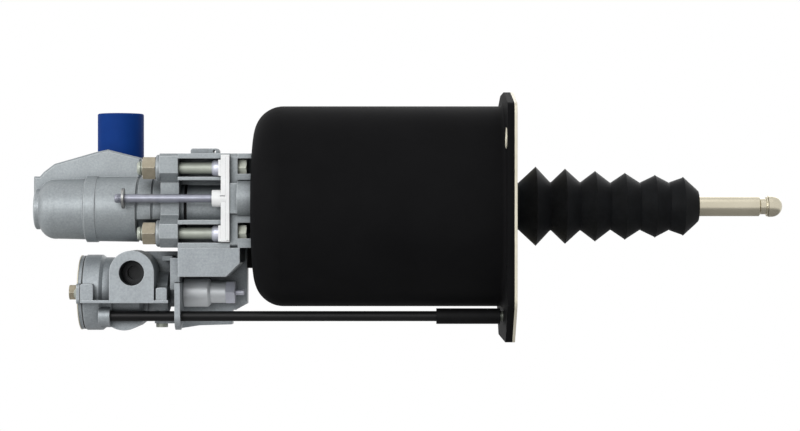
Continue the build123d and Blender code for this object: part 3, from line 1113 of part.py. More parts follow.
def make_relay_spring():
    """Spring that returns the relay piston."""
    return coil(SEAT_RIGHT_X, RELAY_LEFT_X, RELAY_SPRING_R, VALVE_WIRE_R, 4, VALVE_Y, VALVE_Z)



def make_inlet_poppet():
    """Inlet poppet with a rubber-faced disc and a stem in the cover."""
    return turned([(POPPET_LEFT_X - POPPET_STEM_L, 0), (POPPET_LEFT_X - POPPET_STEM_L, POPPET_STEM_R),
                   (POPPET_LEFT_X, POPPET_STEM_R), (POPPET_LEFT_X, POPPET_R),
                   (POPPET_RIGHT_X - 1, POPPET_R),
                   (POPPET_RIGHT_X, POPPET_R - 1), (POPPET_RIGHT_X, 0)], VALVE_Y, VALVE_Z)


def make_poppet_spring():
    """Spring that closes the inlet poppet."""
    return coil(VALVE_FACE_X + COVER_SPIGOT_L, POPPET_LEFT_X, POPPET_SPRING_R, VALVE_WIRE_R, 3, VALVE_Y,
                VALVE_Z)


def make_bleed_screw():
    """Bleed screw with a hexagon and a plain nipple."""
    hex_left = NECK_COLLAR_END_X
    hex_right = hex_left + BLEED_HEX_H
    tip = hex_right + BLEED_TIP_L
    stem = turned([(hex_left - BLEED_STEM_L, 0), (hex_left - BLEED_STEM_L, BLEED_STEM_R),
                   (hex_left, BLEED_STEM_R),
                   (hex_left, BLEED_TIP_R), (tip - 0.5, BLEED_TIP_R), (tip, BLEED_TIP_R - 0.5), (tip, 0)],
                  VALVE_Y, VALVE_Z)
    screw = stem + hexagon_x(hex_left, hex_right, BLEED_AF, VALVE_Y, VALVE_Z)
    return screw - rod_x(tip - 10, tip + 1, BLEED_TIP_R / 2, VALVE_Y, VALVE_Z)


def make_exhaust_cover():
    """Moulded cover with slots over the exhaust, on the rear side."""
    y0 = EXHAUST_BACK_Y
    cover = rod_y(y0, y0 + EXHAUST_COVER_T, EXHAUST_R - 1, EXHAUST_X, EXHAUST_Z)
    cover = fillet(cover.faces().sort_by(Axis.Y)[-1].edges(), 1.0)
    cover += rod_y(y0 - 5, y0, EXHAUST_BORE_R - FIT_GAP, EXHAUST_X, EXHAUST_Z)
    cover -= rod_y(y0 - 6, y0 + 1, EXHAUST_BORE_R - 1.6, EXHAUST_X, EXHAUST_Z)
    for dz in (-3.2, 0, 3.2):
        cover -= block(EXHAUST_X - 4.5, EXHAUST_X + 4.5, y0 - 1, y0 + EXHAUST_COVER_T + 1,
                       EXHAUST_Z + dz - 0.8, EXHAUST_Z + dz + 0.8)
    return cover


# Transfer block, plate and seal
def make_transfer_block():
    """Block that carries the valve under the cage."""
    outline = [(BLOCK_LEFT_X, CAGE_BOTTOM_Z), (BLOCK_RIGHT_X, CAGE_BOTTOM_Z),
               (BLOCK_RIGHT_X, BLOCK_BOTTOM_Z + BLOCK_CHAMFER),
               (BLOCK_RIGHT_X - BLOCK_CHAMFER, BLOCK_BOTTOM_Z),
               (BLOCK_LEFT_X, BLOCK_BOTTOM_Z)]
    solid = prism_y(outline, BLOCK_FRONT_Y, BACK_PLATE_FRONT_Y)
    for x, y in BLOCK_SCREWS:
        solid -= rod_z(BLOCK_BOTTOM_Z - 1, BLOCK_SCREW_SEAT_Z, BLOCK_SCREW_HEAD_R + 0.3, x, y)
        solid -= rod_z(BLOCK_SCREW_SEAT_Z - 1, CAGE_BOTTOM_Z + 1, BLOCK_SCREW_R + BOLT_HOLE_GAP, x, y)
    for x in PLATE_SCREW_X:
        solid -= rod_y(BACK_PLATE_FRONT_Y - PLATE_SCREW_L, BACK_PLATE_FRONT_Y + 1, SCREW_R + FIT_GAP, x,
                       PLATE_SCREW_Z)
    return solid


def make_transfer_plate():
    """Plate behind the block, with the air passage to the shell and a lower wall."""
    right = BACK_PLATE_RIGHT_X
    bottom = BACK_PLATE_BOTTOM_Z
    outline = [(BLOCK_LEFT_X, CAGE_BOTTOM_Z), (right, CAGE_BOTTOM_Z), (right, bottom + 3.8),
               (right - 6.8, bottom), (WALL_RIGHT_X, bottom), (WALL_RIGHT_X, WALL_BOTTOM_Z + 2.6),
               (WALL_RIGHT_X - 20, WALL_BOTTOM_Z + 2.0), (BLOCK_LEFT_X - WALL_OVERHANG, WALL_BOTTOM_Z),
               (BLOCK_LEFT_X - WALL_OVERHANG, VALVE_Z), (BLOCK_LEFT_X, VALVE_Z)]
    plate = prism_y(outline, BACK_PLATE_FRONT_Y, BACK_PLATE_FRONT_Y + BACK_PLATE_T)
    passage_y = BACK_PLATE_FRONT_Y + BACK_PLATE_T / 2
    plate -= rod_x(BLOCK_LEFT_X + 10, right + 1, AIR_PASSAGE_R, passage_y, AIR_PASSAGE_Z)
    for x in PLATE_SCREW_X:
        plate -= rod_y(BACK_PLATE_FRONT_Y - 1, BACK_PLATE_BACK_Y + 1, SCREW_R + BOLT_HOLE_GAP, x,
                       PLATE_SCREW_Z)
    return plate


def make_plate_screws():
    """Screws that hold the plate to the block."""
    back = BACK_PLATE_BACK_Y
    tip = BACK_PLATE_FRONT_Y - PLATE_SCREW_L + 1
    return group(rod_y(tip, back, SCREW_R, x, PLATE_SCREW_Z) + rod_y(back, back + 3, 2 * SCREW_R, x,
                                                                     PLATE_SCREW_Z)
                 - rod_y(back + 1, back + 4, SCREW_R, x, PLATE_SCREW_Z) for x in PLATE_SCREW_X)


def make_block_screws():
    """Screws that hold the block to the cage."""
    seat = BLOCK_SCREW_SEAT_Z
    return group(rod_z(seat, CAGE_BOTTOM_Z + CAGE_WALL, BLOCK_SCREW_R, x, y)
                 + rod_z(seat - 5, seat, BLOCK_SCREW_HEAD_R, x, y)
                 - rod_z(seat - 6, seat - 2.5, BLOCK_SCREW_R * 0.8, x, y) for x, y in BLOCK_SCREWS)


def make_transfer_seal():
    """Rubber seal between the plate and the shell, round the air passage."""
    seal = block(BACK_PLATE_RIGHT_X, REAR_X, BACK_PLATE_FRONT_Y, BACK_PLATE_BACK_Y, SEAL_BOTTOM_Z,
                 CAGE_BOTTOM_Z)
    passage_y = BACK_PLATE_FRONT_Y + BACK_PLATE_T / 2
    seal = fillet(seal.edges().filter_by(Axis.X), 1.5)
    return seal - rod_x(BACK_PLATE_RIGHT_X - 1, REAR_X + 1, AIR_PASSAGE_R, passage_y, AIR_PASSAGE_Z)


# Breather
def make_breather_tube():
    """Straight tube from the valve body to the sleeve."""
    return tube_x(TUBE_LEFT_X, TUBE_JOINT_X, TUBE_R, TUBE_BORE_R, TUBE_Y, TUBE_Z)


def make_tube_stub():
    """Short stub in the flange that the sleeve joins to the tube."""
    return tube_x(TUBE_JOINT_X, FLANGE_FRONT_X, TUBE_R, TUBE_BORE_R, TUBE_Y, TUBE_Z)


def make_tube_sleeve():
    """Rubber sleeve over the joint of tube and stub."""
    return tube_x(SLEEVE_LEFT_X, SLEEVE_RIGHT_X, SLEEVE_R, TUBE_R + FIT_GAP, TUBE_Y, TUBE_Z)


def make_tube_clip():
    """Clip plate that the tube passes through, with a foot under the valve body."""
    plate = rod_x(CLIP_X, CLIP_X + CLIP_T, CLIP_R, TUBE_Y, TUBE_Z)
    plate += block(CLIP_X, CLIP_X + CLIP_T, TUBE_Y - CLIP_R, TUBE_Y + CLIP_R, TUBE_Z, CLIP_TOP_Z)
    plate += block(CLIP_X, CLIP_X + CLIP_T, TUBE_Y, CLIP_SCREW_Y + 4, CLIP_FOOT_TOP_Z - CLIP_FOOT_T,
                   VALVE_Z)
    plate += block(CLIP_SCREW_X - 4, CLIP_X + CLIP_T, CLIP_SCREW_Y - 4, CLIP_SCREW_Y + 4,
                   CLIP_FOOT_TOP_Z - CLIP_FOOT_T, CLIP_FOOT_TOP_Z)
    plate -= rod_x(CLIP_X - 1, CLIP_X + CLIP_T + 1, NECK_R + 2.4, VALVE_Y, VALVE_Z)
    plate -= rod_x(CLIP_X - 1, CLIP_X + CLIP_T + 1, TUBE_R + FIT_GAP, TUBE_Y, TUBE_Z)
    return plate - rod_z(CLIP_FOOT_TOP_Z - 9, CLIP_FOOT_TOP_Z + 1, SCREW_R + BOLT_HOLE_GAP, CLIP_SCREW_X,
                         CLIP_SCREW_Y)


def make_clip_screw():
    """Screw that holds the clip to the valve body."""
    bottom = CLIP_FOOT_TOP_Z - CLIP_FOOT_T
    return (rod_z(bottom, CLIP_FOOT_TOP_Z + CLIP_SCREW_L - 1, SCREW_R, CLIP_SCREW_X, CLIP_SCREW_Y)
            + rod_z(bottom - 2.4, bottom, 1.8 * SCREW_R, CLIP_SCREW_X, CLIP_SCREW_Y))


NODES = {
    "cylinder_shell": make_shell, "flange_gasket": make_gasket, "mounting_plate": make_plate,
    "rod_guide": make_guide, "guide_bush": make_bush, "rod_wiper": make_wiper, "boot": make_boot,
    "push_rod": make_push_rod, "rod_ring": make_rod_ring, "air_piston": make_air_piston,
    "piston_seal": make_piston_seal, "piston_ring": make_piston_ring, "return_spring": make_return_spring,
    "spring_seat": make_spring_seat, "hydraulic_plunger": make_plunger, "plunger_cup": make_cup,
    "hydraulic_cylinder": make_hydraulic_cylinder, "gland_bush": make_gland, "gland_ring": make_gland_ring,
    "port_cap": make_port_cap, "cage_casting": make_cage, "air_seal": make_air_seal,
    "cage_bolts": make_cage_bolts, "cage_nuts": make_cage_nuts, "bolt_washers": make_bolt_washers,
    "shell_screws": make_shell_screws, "indicator_bracket": make_bracket,
    "bracket_washers": make_bracket_washers, "indicator_rod": make_indicator_rod,
    "indicator_clip": make_indicator_clip, "indicator_seal": make_indicator_seal,
    "valve_body": make_valve_body, "valve_cover": make_valve_cover, "cover_gasket": make_cover_gasket,
    "cover_bolt": make_cover_bolt, "cover_screws": make_cover_screws, "valve_seat": make_valve_seat,
    "relay_piston": make_relay_piston, "relay_seal": make_relay_seal, "relay_spring": make_relay_spring,
    "inlet_poppet": make_inlet_poppet, "poppet_spring": make_poppet_spring, "bleed_screw": make_bleed_screw,
    "exhaust_cover": make_exhaust_cover, "transfer_block": make_transfer_block,
    "transfer_plate": make_transfer_plate, "plate_screws": make_plate_screws,
    "block_screws": make_block_screws, "transfer_seal": make_transfer_seal,
    "breather_tube": make_breather_tube, "tube_stub": make_tube_stub, "tube_sleeve": make_tube_sleeve,
    "tube_clip": make_tube_clip, "clip_screw": make_clip_screw,
}

os.makedirs("parts", exist_ok=True)
for node_name, make in NODES.items():
    save(node_name, make())
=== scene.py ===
"""Studio scene of a clutch servo: finishes for every piece, the soft boot, the springs and the threads."""
import logging
import math
from dataclasses import dataclass
from typing import Sequence

import bpy
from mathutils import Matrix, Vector


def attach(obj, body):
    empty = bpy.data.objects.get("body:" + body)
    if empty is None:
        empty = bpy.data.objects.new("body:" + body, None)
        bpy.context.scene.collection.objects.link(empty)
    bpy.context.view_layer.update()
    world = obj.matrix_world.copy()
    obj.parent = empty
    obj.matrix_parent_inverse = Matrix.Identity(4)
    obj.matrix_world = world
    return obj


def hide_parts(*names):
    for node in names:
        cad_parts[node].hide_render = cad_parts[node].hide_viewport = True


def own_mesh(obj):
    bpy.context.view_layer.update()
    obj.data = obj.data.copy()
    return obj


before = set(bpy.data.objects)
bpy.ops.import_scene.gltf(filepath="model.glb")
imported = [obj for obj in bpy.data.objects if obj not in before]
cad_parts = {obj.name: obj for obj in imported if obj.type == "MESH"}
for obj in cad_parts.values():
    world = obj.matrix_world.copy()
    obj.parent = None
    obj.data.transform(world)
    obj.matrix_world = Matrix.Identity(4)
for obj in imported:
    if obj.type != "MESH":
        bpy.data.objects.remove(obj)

LOG = logging.getLogger("clutch_servo")
MM = 0.001
WELD_M = 1e-6
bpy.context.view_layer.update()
HOUSING = "housing"
ROD_GROUP = "rod_group"
ALONG_X = Vector((1, 0, 0))
ALONG_Y = Vector((0, 1, 0))
ALONG_Z = Vector((0, 0, 1))
WHITE = (1, 1, 1, 1)
NOISE_BAND = (0.3, 0.7)
SHADER_SAMPLES = 6
# Start, end, low and high value of the ramps that paint highlights on edges and paint shade into crevices
EDGE_HIGHLIGHT_RAMP = (0.995, 0.9, 0.0, 0.8)
CREVICE_SHADE_RAMP = (0.85, 0.25, 0.0, 0.85)
# A band of the wave texture is this wide at a scale of one
WAVE_BAND = 0.314


def srgb_to_linear(hex_colour: str) -> tuple[float, float, float, float]:
    """Turn an sRGB hex colour into linear values.

    Args:
        hex_colour: Six hex digits, with or without a leading hash.

    Returns:
        Red, green, blue and an alpha of one.
    """
    digits = hex_colour.lstrip("#")
    channels = [int(digits[i:i + 2], 16) / 255 for i in (0, 2, 4)]
    linear = [c / 12.92 if c <= 0.04045 else ((c + 0.055) / 1.055) ** 2.4 for c in channels]
    return linear[0], linear[1], linear[2], 1.0


def add_node(tree: bpy.types.NodeTree, kind: str, settings: dict | None = None,
             links: dict | None = None) -> bpy.types.Node:
    """Add a shader node with its settings and links.

    Args:
        tree: Node tree of the material.
        kind: Type name of the node.
        settings: Attribute names, or input names after "in:", with their values.
        links: Input names or numbers with the output sockets that feed them.

    Returns:
        The new node.
    """
    node = tree.nodes.new(kind)
    for key, value in (settings or {}).items():
        if key.startswith("in:"):
            node.inputs[key[3:]].default_value = value
        else:
            setattr(node, key, value)
    for key, socket in (links or {}).items():
        tree.links.new(socket, node.inputs[key])
    return node


def mix_colours(tree: bpy.types.NodeTree, share: bpy.types.NodeSocket, first: bpy.types.NodeSocket | str,
                second: bpy.types.NodeSocket | str) -> bpy.types.NodeSocket:
    """Mix two colours, each a socket or a hex value.

    Args:
        tree: Node tree of the material.
        share: How much of the second colour there is.
        first: Colour at zero.
        second: Colour at one.

    Returns:
        Colour socket.
    """
    mix = add_node(tree, "ShaderNodeMix", {"data_type": "RGBA"}, {0: share})
    for number, colour in ((6, first), (7, second)):
        if isinstance(colour, str):
            mix.inputs[number].default_value = srgb_to_linear(colour)
        else:
            tree.links.new(colour, mix.inputs[number])
    return mix.outputs[2]


def ramp(tree: bpy.types.NodeTree, value: bpy.types.NodeSocket, start: float, end: float,
         low: float = 0.0, high: float = 1.0) -> bpy.types.NodeSocket:
    """Map a value from one range to another, held at both ends.

    Args:
        tree: Node tree of the material.
        value: Value to map.
        start: Value that gives the low result.
        end: Value that gives the high result.
        low: Result at the start.
        high: Result at the end.

    Returns:
        Mapped value.
    """
    return add_node(tree, "ShaderNodeMapRange", {
        "in:From Min": start, "in:From Max": end, "in:To Min": low, "in:To Max": high},
        {"Value": value}).outputs[0]


@dataclass(frozen=True)
class Finish:
    """Base of all finishes: cloudy colour with specks, grain, painted shade in crevices and softened edges
    with painted highlights that also stand for wear.
    """

    name: str
    light: str
    dark: str
    metallic: float
    roughness: float
    specular: float = 0.5
    cloud_mm: float = 12.0
    grain_mm: float = 0.8
    grain_depth_mm: float = 0.03
    speck: float = 0.0
    edge_mm: float = 0.0
    edge_highlight_and_wear_tone: str = ""
    crevice_shade_mm: float = 0.0
    crevice_shade_tone: str = ""

    def material(self) -> bpy.types.Material:
        """Make the material, or give it back when it is there already.

        Returns:
            The finished material.
        """
        known = bpy.data.materials.get(self.name)
        if known:
            return known
        made = bpy.data.materials.new(self.name)
        made.use_nodes = True
        tree = made.node_tree
        tree.nodes.clear()
        place = add_node(tree, "ShaderNodeTexCoord").outputs["Object"]
        shader = add_node(tree, "ShaderNodeBsdfPrincipled", {
            "in:Metallic": self.metallic, "in:Roughness": self.roughness,
            "in:Specular IOR Level": self.specular})
        tree.links.new(self.colour(tree, place), shader.inputs["Base Color"])
        tree.links.new(self.relief(tree, place), shader.inputs["Normal"])
        add_node(tree, "ShaderNodeOutputMaterial", links={"Surface": shader.outputs["BSDF"]})
        return made

    def colour(self, tree: bpy.types.NodeTree, place: bpy.types.NodeSocket) -> bpy.types.NodeSocket:
        """Cloudy mix of the light and the dark tone, with specks, painted highlights on edges, which also
        stand for wear, and painted shade in crevices.

        Args:
            tree: Node tree of the material.
            place: Object coordinates.

        Returns:
            Colour socket.
        """
        cloud = add_node(tree, "ShaderNodeTexNoise", {
            "in:Scale": 1 / (self.cloud_mm * MM), "in:Detail": 4.0, "in:Roughness": 0.6}, {"Vector": place})
        tone = mix_colours(tree, ramp(tree, cloud.outputs["Fac"], *NOISE_BAND), self.dark, self.light)
        if self.speck:
            tone = self.specks(tree, place, tone)
        # Painted highlight that also stands for wear: the colour lightens along edges, where the bevelled
        # normal turns away from the face's own
        if self.edge_highlight_and_wear_tone:
            soft = self.soft_edges(tree)
            flat = add_node(tree, "ShaderNodeNewGeometry")
            turn = add_node(tree, "ShaderNodeVectorMath", {"operation": "DOT_PRODUCT"},
                            {0: soft.outputs["Normal"], 1: flat.outputs["Normal"]})
            bright = ramp(tree, turn.outputs["Value"], *EDGE_HIGHLIGHT_RAMP)
            tone = mix_colours(tree, bright, tone, self.edge_highlight_and_wear_tone)
        # Painted shade: the colour darkens where ambient occlusion finds surfaces close by, in corners,
        # recesses and between parts
        if self.crevice_shade_tone:
            hollow = add_node(tree, "ShaderNodeAmbientOcclusion", {
                "samples": SHADER_SAMPLES, "in:Distance": self.crevice_shade_mm * MM})
            shade = ramp(tree, hollow.outputs["AO"], *CREVICE_SHADE_RAMP)
            tone = mix_colours(tree, shade, tone, self.crevice_shade_tone)
        return tone

    def soft_edges(self, tree: bpy.types.NodeTree) -> bpy.types.Node:
        """Normals that are rounded over each edge.

        Args:
            tree: Node tree of the material.

        Returns:
            Bevel node.
        """
        return add_node(tree, "ShaderNodeBevel", {"samples": SHADER_SAMPLES, "in:Radius": self.edge_mm * MM})

    def specks(self, tree: bpy.types.NodeTree, place: bpy.types.NodeSocket,
               tone: bpy.types.NodeSocket) -> bpy.types.NodeSocket:
        """Fine lighter and darker specks over the tone.

        Args:
            tree: Node tree of the material.
            place: Object coordinates.
            tone: Colour below the specks.

        Returns:
            Colour socket.
        """
        grit = add_node(tree, "ShaderNodeTexNoise", {
            "in:Scale": 1 / (1.6 * self.grain_mm * MM), "in:Detail": 3.0, "in:Roughness": 0.7},
            {"Vector": place})
        level = ramp(tree, grit.outputs["Fac"], *NOISE_BAND, 1 - self.speck, 1 + self.speck)
        grey = add_node(tree, "ShaderNodeCombineColor", links={0: level, 1: level, 2: level})
        full = add_node(tree, "ShaderNodeMix", {
            "data_type": "RGBA", "blend_type": "MULTIPLY", "in:Factor": 1.0})
        tree.links.new(tone, full.inputs[6])
        tree.links.new(grey.outputs[0], full.inputs[7])
        return full.outputs[2]

    def relief(self, tree: bpy.types.NodeTree, place: bpy.types.NodeSocket) -> bpy.types.NodeSocket:
        """Fine grain on softened edges.

        Args:
            tree: Node tree of the material.
            place: Object coordinates.

        Returns:
            Normal socket.
        """
        grain = add_node(tree, "ShaderNodeTexNoise", {
            "in:Scale": 1 / (self.grain_mm * MM), "in:Detail": 2.0}, {"Vector": place})
        links = {"Height": grain.outputs["Fac"]}
        if self.edge_mm:
            links["Normal"] = self.soft_edges(tree).outputs["Normal"]
        bump = add_node(tree, "ShaderNodeBump", {
            "in:Strength": 0.6, "in:Distance": self.grain_depth_mm * MM}, links)
        return bump.outputs["Normal"]


@dataclass(frozen=True)
class TurnedMetal(Finish):
    """Metal turned round an axis along X, with fine tool lines."""

    line_mm: float = 0.5
    line_depth_mm: float = 0.01
    wander: float = 1.5

    def relief(self, tree: bpy.types.NodeTree, place: bpy.types.NodeSocket) -> bpy.types.NodeSocket:
        """Tool lines across the turning axis.

        Args:
            tree: Node tree of the material.
            place: Object coordinates.

        Returns:
            Normal socket.
        """
        lines = add_node(tree, "ShaderNodeTexWave", {
            "wave_type": "BANDS", "bands_direction": "X", "in:Scale": WAVE_BAND / (self.line_mm * MM),
            "in:Distortion": self.wander, "in:Detail": 2.0}, {"Vector": place})
        bump = add_node(tree, "ShaderNodeBump", {
            "in:Strength": 0.5, "in:Distance": self.line_depth_mm * MM}, {"Height": lines.outputs["Fac"]})
        return bump.outputs["Normal"]


@dataclass(frozen=True)
class BrightBeyondPlane(Finish):
    """Finish painted brighter beyond a plane across X: painted light on a casting's machined neck, and on the
    heads of bolts, which sit in shade.
    """

    bright_from_mm: float = 0.0
    painted_light_tone: str = "#d8dcdf"
    bright_edge_mm: float = 0.2

    def colour(self, tree: bpy.types.NodeTree, place: bpy.types.NodeSocket) -> bpy.types.NodeSocket:
        """Tone of the finish, with a lighter tone painted beyond a plane across X as painted light.

        Args:
            tree: Node tree of the material.
            place: Object coordinates.

        Returns:
            Colour socket.
        """
        rough = super().colour(tree, place)
        # Painted light: beyond the plane the colour turns to a lighter tone, which stands for light on parts
        # that lie in shade
        across = add_node(tree, "ShaderNodeSeparateXYZ", links={0: place}).outputs["X"]
        start = self.bright_from_mm * MM
        beyond = ramp(tree, across, start, start + self.bright_edge_mm * MM)
        return mix_colours(tree, beyond, rough, self.painted_light_tone)


# Shot-blasted sand casting: pale blue-grey and matt, with a pebbled skin, painted highlights on edges and
# painted shade in corners
CAST_ALUMINIUM = Finish("shot_blasted_cast_aluminium", "#969c9f", "#8b9194", 0.3, 0.45, cloud_mm=16.0,
                        grain_mm=0.8, grain_depth_mm=0.1, speck=0.14, edge_mm=0.7, edge_highlight_and_wear_tone="#c8cdd0",
                        crevice_shade_mm=9.0, crevice_shade_tone="#3a4044")
# The same alloy on the valve's small parts, slightly lighter and with deeper painted shade in corners
VALVE_ALUMINIUM = Finish("cast_valve_aluminium", "#999fa3", "#8e9498", 0.3, 0.45, cloud_mm=14.0,
                         grain_mm=0.8, grain_depth_mm=0.1, speck=0.14, edge_mm=0.6, edge_highlight_and_wear_tone="#c4c9cc",
                         crevice_shade_mm=9.0, crevice_shade_tone="#2c3134")
# The valve body itself, with its machined neck painted brighter as painted light, since it lies in the
# transfer block's shadow
VALVE_BODY_ALUMINIUM = BrightBeyondPlane("cast_valve_aluminium_machined_lit_neck", "#9ca2a6", "#91979b", 0.3, 0.45,
                                    cloud_mm=14.0, grain_mm=0.8, grain_depth_mm=0.1, speck=0.14,
                                    edge_mm=0.6, edge_highlight_and_wear_tone="#c4c9cc", crevice_shade_mm=9.0,
                                    crevice_shade_tone="#2c3134", bright_from_mm=-198.6)
# Machined aluminium: brighter, with fine tool lines
TURNED_ALUMINIUM = TurnedMetal("machined_aluminium", "#c6cbcf", "#b6bcc2", 0.8, 0.36, line_mm=0.6)
# Black enamel on drawn steel: deep black with a faint orange-peel skin
GLOSS_ENAMEL = Finish("black_gloss_enamel", "#171718", "#131314", 0.0, 0.6, specular=0.02, cloud_mm=40.0,
                      grain_mm=4.0, grain_depth_mm=0.03, edge_mm=0.8)
# Moulded rubber of the boot: near black and matt, with fine specks
BOOT_RUBBER = Finish("moulded_boot_rubber", "#17181a", "#101112", 0.0, 0.55, specular=0.08, cloud_mm=6.0,
                     grain_mm=0.5, grain_depth_mm=0.03, speck=0.15)
# Rubber of the seals and the tube's sleeve
SEAL_RUBBER = Finish("moulded_seal_rubber", "#141415", "#0d0d0e", 0.0, 0.55, specular=0.12, cloud_mm=5.0,
                     grain_mm=0.4, grain_depth_mm=0.02)
# Extruded nylon tube: black with a satin shine
TUBE_NYLON = Finish("extruded_black_nylon", "#171718", "#121213", 0.0, 0.4, specular=0.2, cloud_mm=20.0,
                    grain_mm=1.5, grain_depth_mm=0.01)
# Zinc plate with a cream chromate, in slow clouds
CREAM_ZINC = Finish("cream_zinc_plate", "#e2dcc9", "#d2ccb8", 0.25, 0.42, cloud_mm=14.0, grain_mm=0.5,
                    grain_depth_mm=0.01, speck=0.04, edge_mm=0.3)
# Tan zinc-nickel on the nuts and the cover bolt, satin with blurred edges
TAN_ZINC = Finish("tan_zinc_nickel", "#9d9583", "#8e8674", 0.4, 0.38, cloud_mm=3.0, grain_mm=0.4,
                  grain_depth_mm=0.015, speck=0.08, edge_mm=0.4, edge_highlight_and_wear_tone="#c9c3b4", crevice_shade_mm=3.0,
                  crevice_shade_tone="#5f5a4e")
# Pale green zinc on small screws, the spring seat and the studs' threads
PALE_ZINC = TurnedMetal("pale_green_zinc", "#a8ada2", "#969b90", 0.5, 0.34, line_mm=0.8, crevice_shade_mm=3.0,
                        crevice_shade_tone="#4d504a")
# The same plating on the cage bolts, with painted light on their heads, which sit in shade in the cage's
# pockets
BOLT_ZINC = BrightBeyondPlane("pale_green_zinc_bolts", "#b6bbb0", "#a8ada2", 0.2, 0.45, cloud_mm=9.0, grain_mm=0.5,
                         grain_depth_mm=0.008, crevice_shade_mm=1.5, crevice_shade_tone="#6c7068",
                         bright_from_mm=-164.2, painted_light_tone="#dfe3d5")
# Blue-white zinc on the bracket washers and the bleed screw
BLUE_WHITE_ZINC = Finish("blue_white_zinc", "#d9dbe6", "#c8cbd8", 0.3, 0.3, cloud_mm=6.0, grain_mm=0.4,
                         grain_depth_mm=0.008, edge_mm=0.2, edge_highlight_and_wear_tone="#eceef4", crevice_shade_mm=0.8,
                         crevice_shade_tone="#80828f")
# Blue-grey zinc on the indicator rod
LILAC_ZINC = Finish("blue_grey_zinc", "#9799a4", "#838591", 0.5, 0.34, cloud_mm=6.0, grain_mm=0.4,
                    grain_depth_mm=0.008, edge_mm=0.2, edge_highlight_and_wear_tone="#c3c5cf", crevice_shade_mm=3.0,
                    crevice_shade_tone="#55565e")
# Bright steel of the retaining ring on the indicator rod
RING_STEEL = Finish("bright_retaining_ring_steel", "#9a9a98", "#7d7d7c", 0.7, 0.35, cloud_mm=3.0,
                    grain_mm=0.4, grain_depth_mm=0.01, edge_mm=0.15, edge_highlight_and_wear_tone="#c2c2c0")
# Nickel-zinc on the ground push rod, its ring and the plunger
GROUND_ROD = TurnedMetal("ground_nickel_zinc_rod", "#d3ccb8", "#c6bfab", 0.95, 0.24, cloud_mm=25.0,
                         line_mm=0.9, line_depth_mm=0.0015, wander=0.2)
# White acetal of the indicator bracket
WHITE_ACETAL = Finish("moulded_white_acetal", "#f2f3f3", "#eaebeb", 0.0, 0.45, cloud_mm=10.0, grain_mm=0.6,
                      grain_depth_mm=0.01, edge_mm=0.4, crevice_shade_mm=3.0, crevice_shade_tone="#8b8d8f")
# Blue polyethylene of the dust cap
BLUE_CAP = Finish("moulded_blue_polyethylene", "#123a80", "#103477", 0.0, 0.6, specular=0.06, cloud_mm=18.0,
                  grain_mm=0.9, grain_depth_mm=0.012, edge_mm=0.5)
# Dark filled plastic of the piston ring and the exhaust cover
FILLED_PLASTIC = Finish("dark_filled_plastic", "#2b2c2e", "#222325", 0.0, 0.5, specular=0.3, cloud_mm=5.0,
                        grain_mm=0.5, grain_depth_mm=0.015, edge_mm=0.3)
# Phosphated spring wire
SPRING_WIRE = Finish("phosphated_spring_wire", "#5b5c5e", "#47484a", 0.7, 0.45, cloud_mm=4.0, grain_mm=0.4,
                     grain_depth_mm=0.015)
# Sintered bronze bushes
SINTERED_BRONZE = Finish("sintered_bronze", "#a88552", "#94713f", 0.9, 0.42, cloud_mm=3.0, grain_mm=0.3,
                         grain_depth_mm=0.02)
# Machined bore of the air port, painted dark as painted shade for the deep hole, with more painted shade in
# its corners
SHADED_BORE = Finish("machined_bore_painted_dark", "#25282a", "#1c1e20", 0.5, 0.35, cloud_mm=3.0, grain_mm=0.5,
                    grain_depth_mm=0.01, crevice_shade_mm=8.0, crevice_shade_tone="#0e0f10")
# Dark fibre gasket, seen as a thin line at the valve cover
FIBRE_GASKET = Finish("dark_fibre_gasket", "#3b3a36", "#2e2d2a", 0.0, 0.8, specular=0.2, cloud_mm=2.0,
                      grain_mm=0.4, grain_depth_mm=0.03)

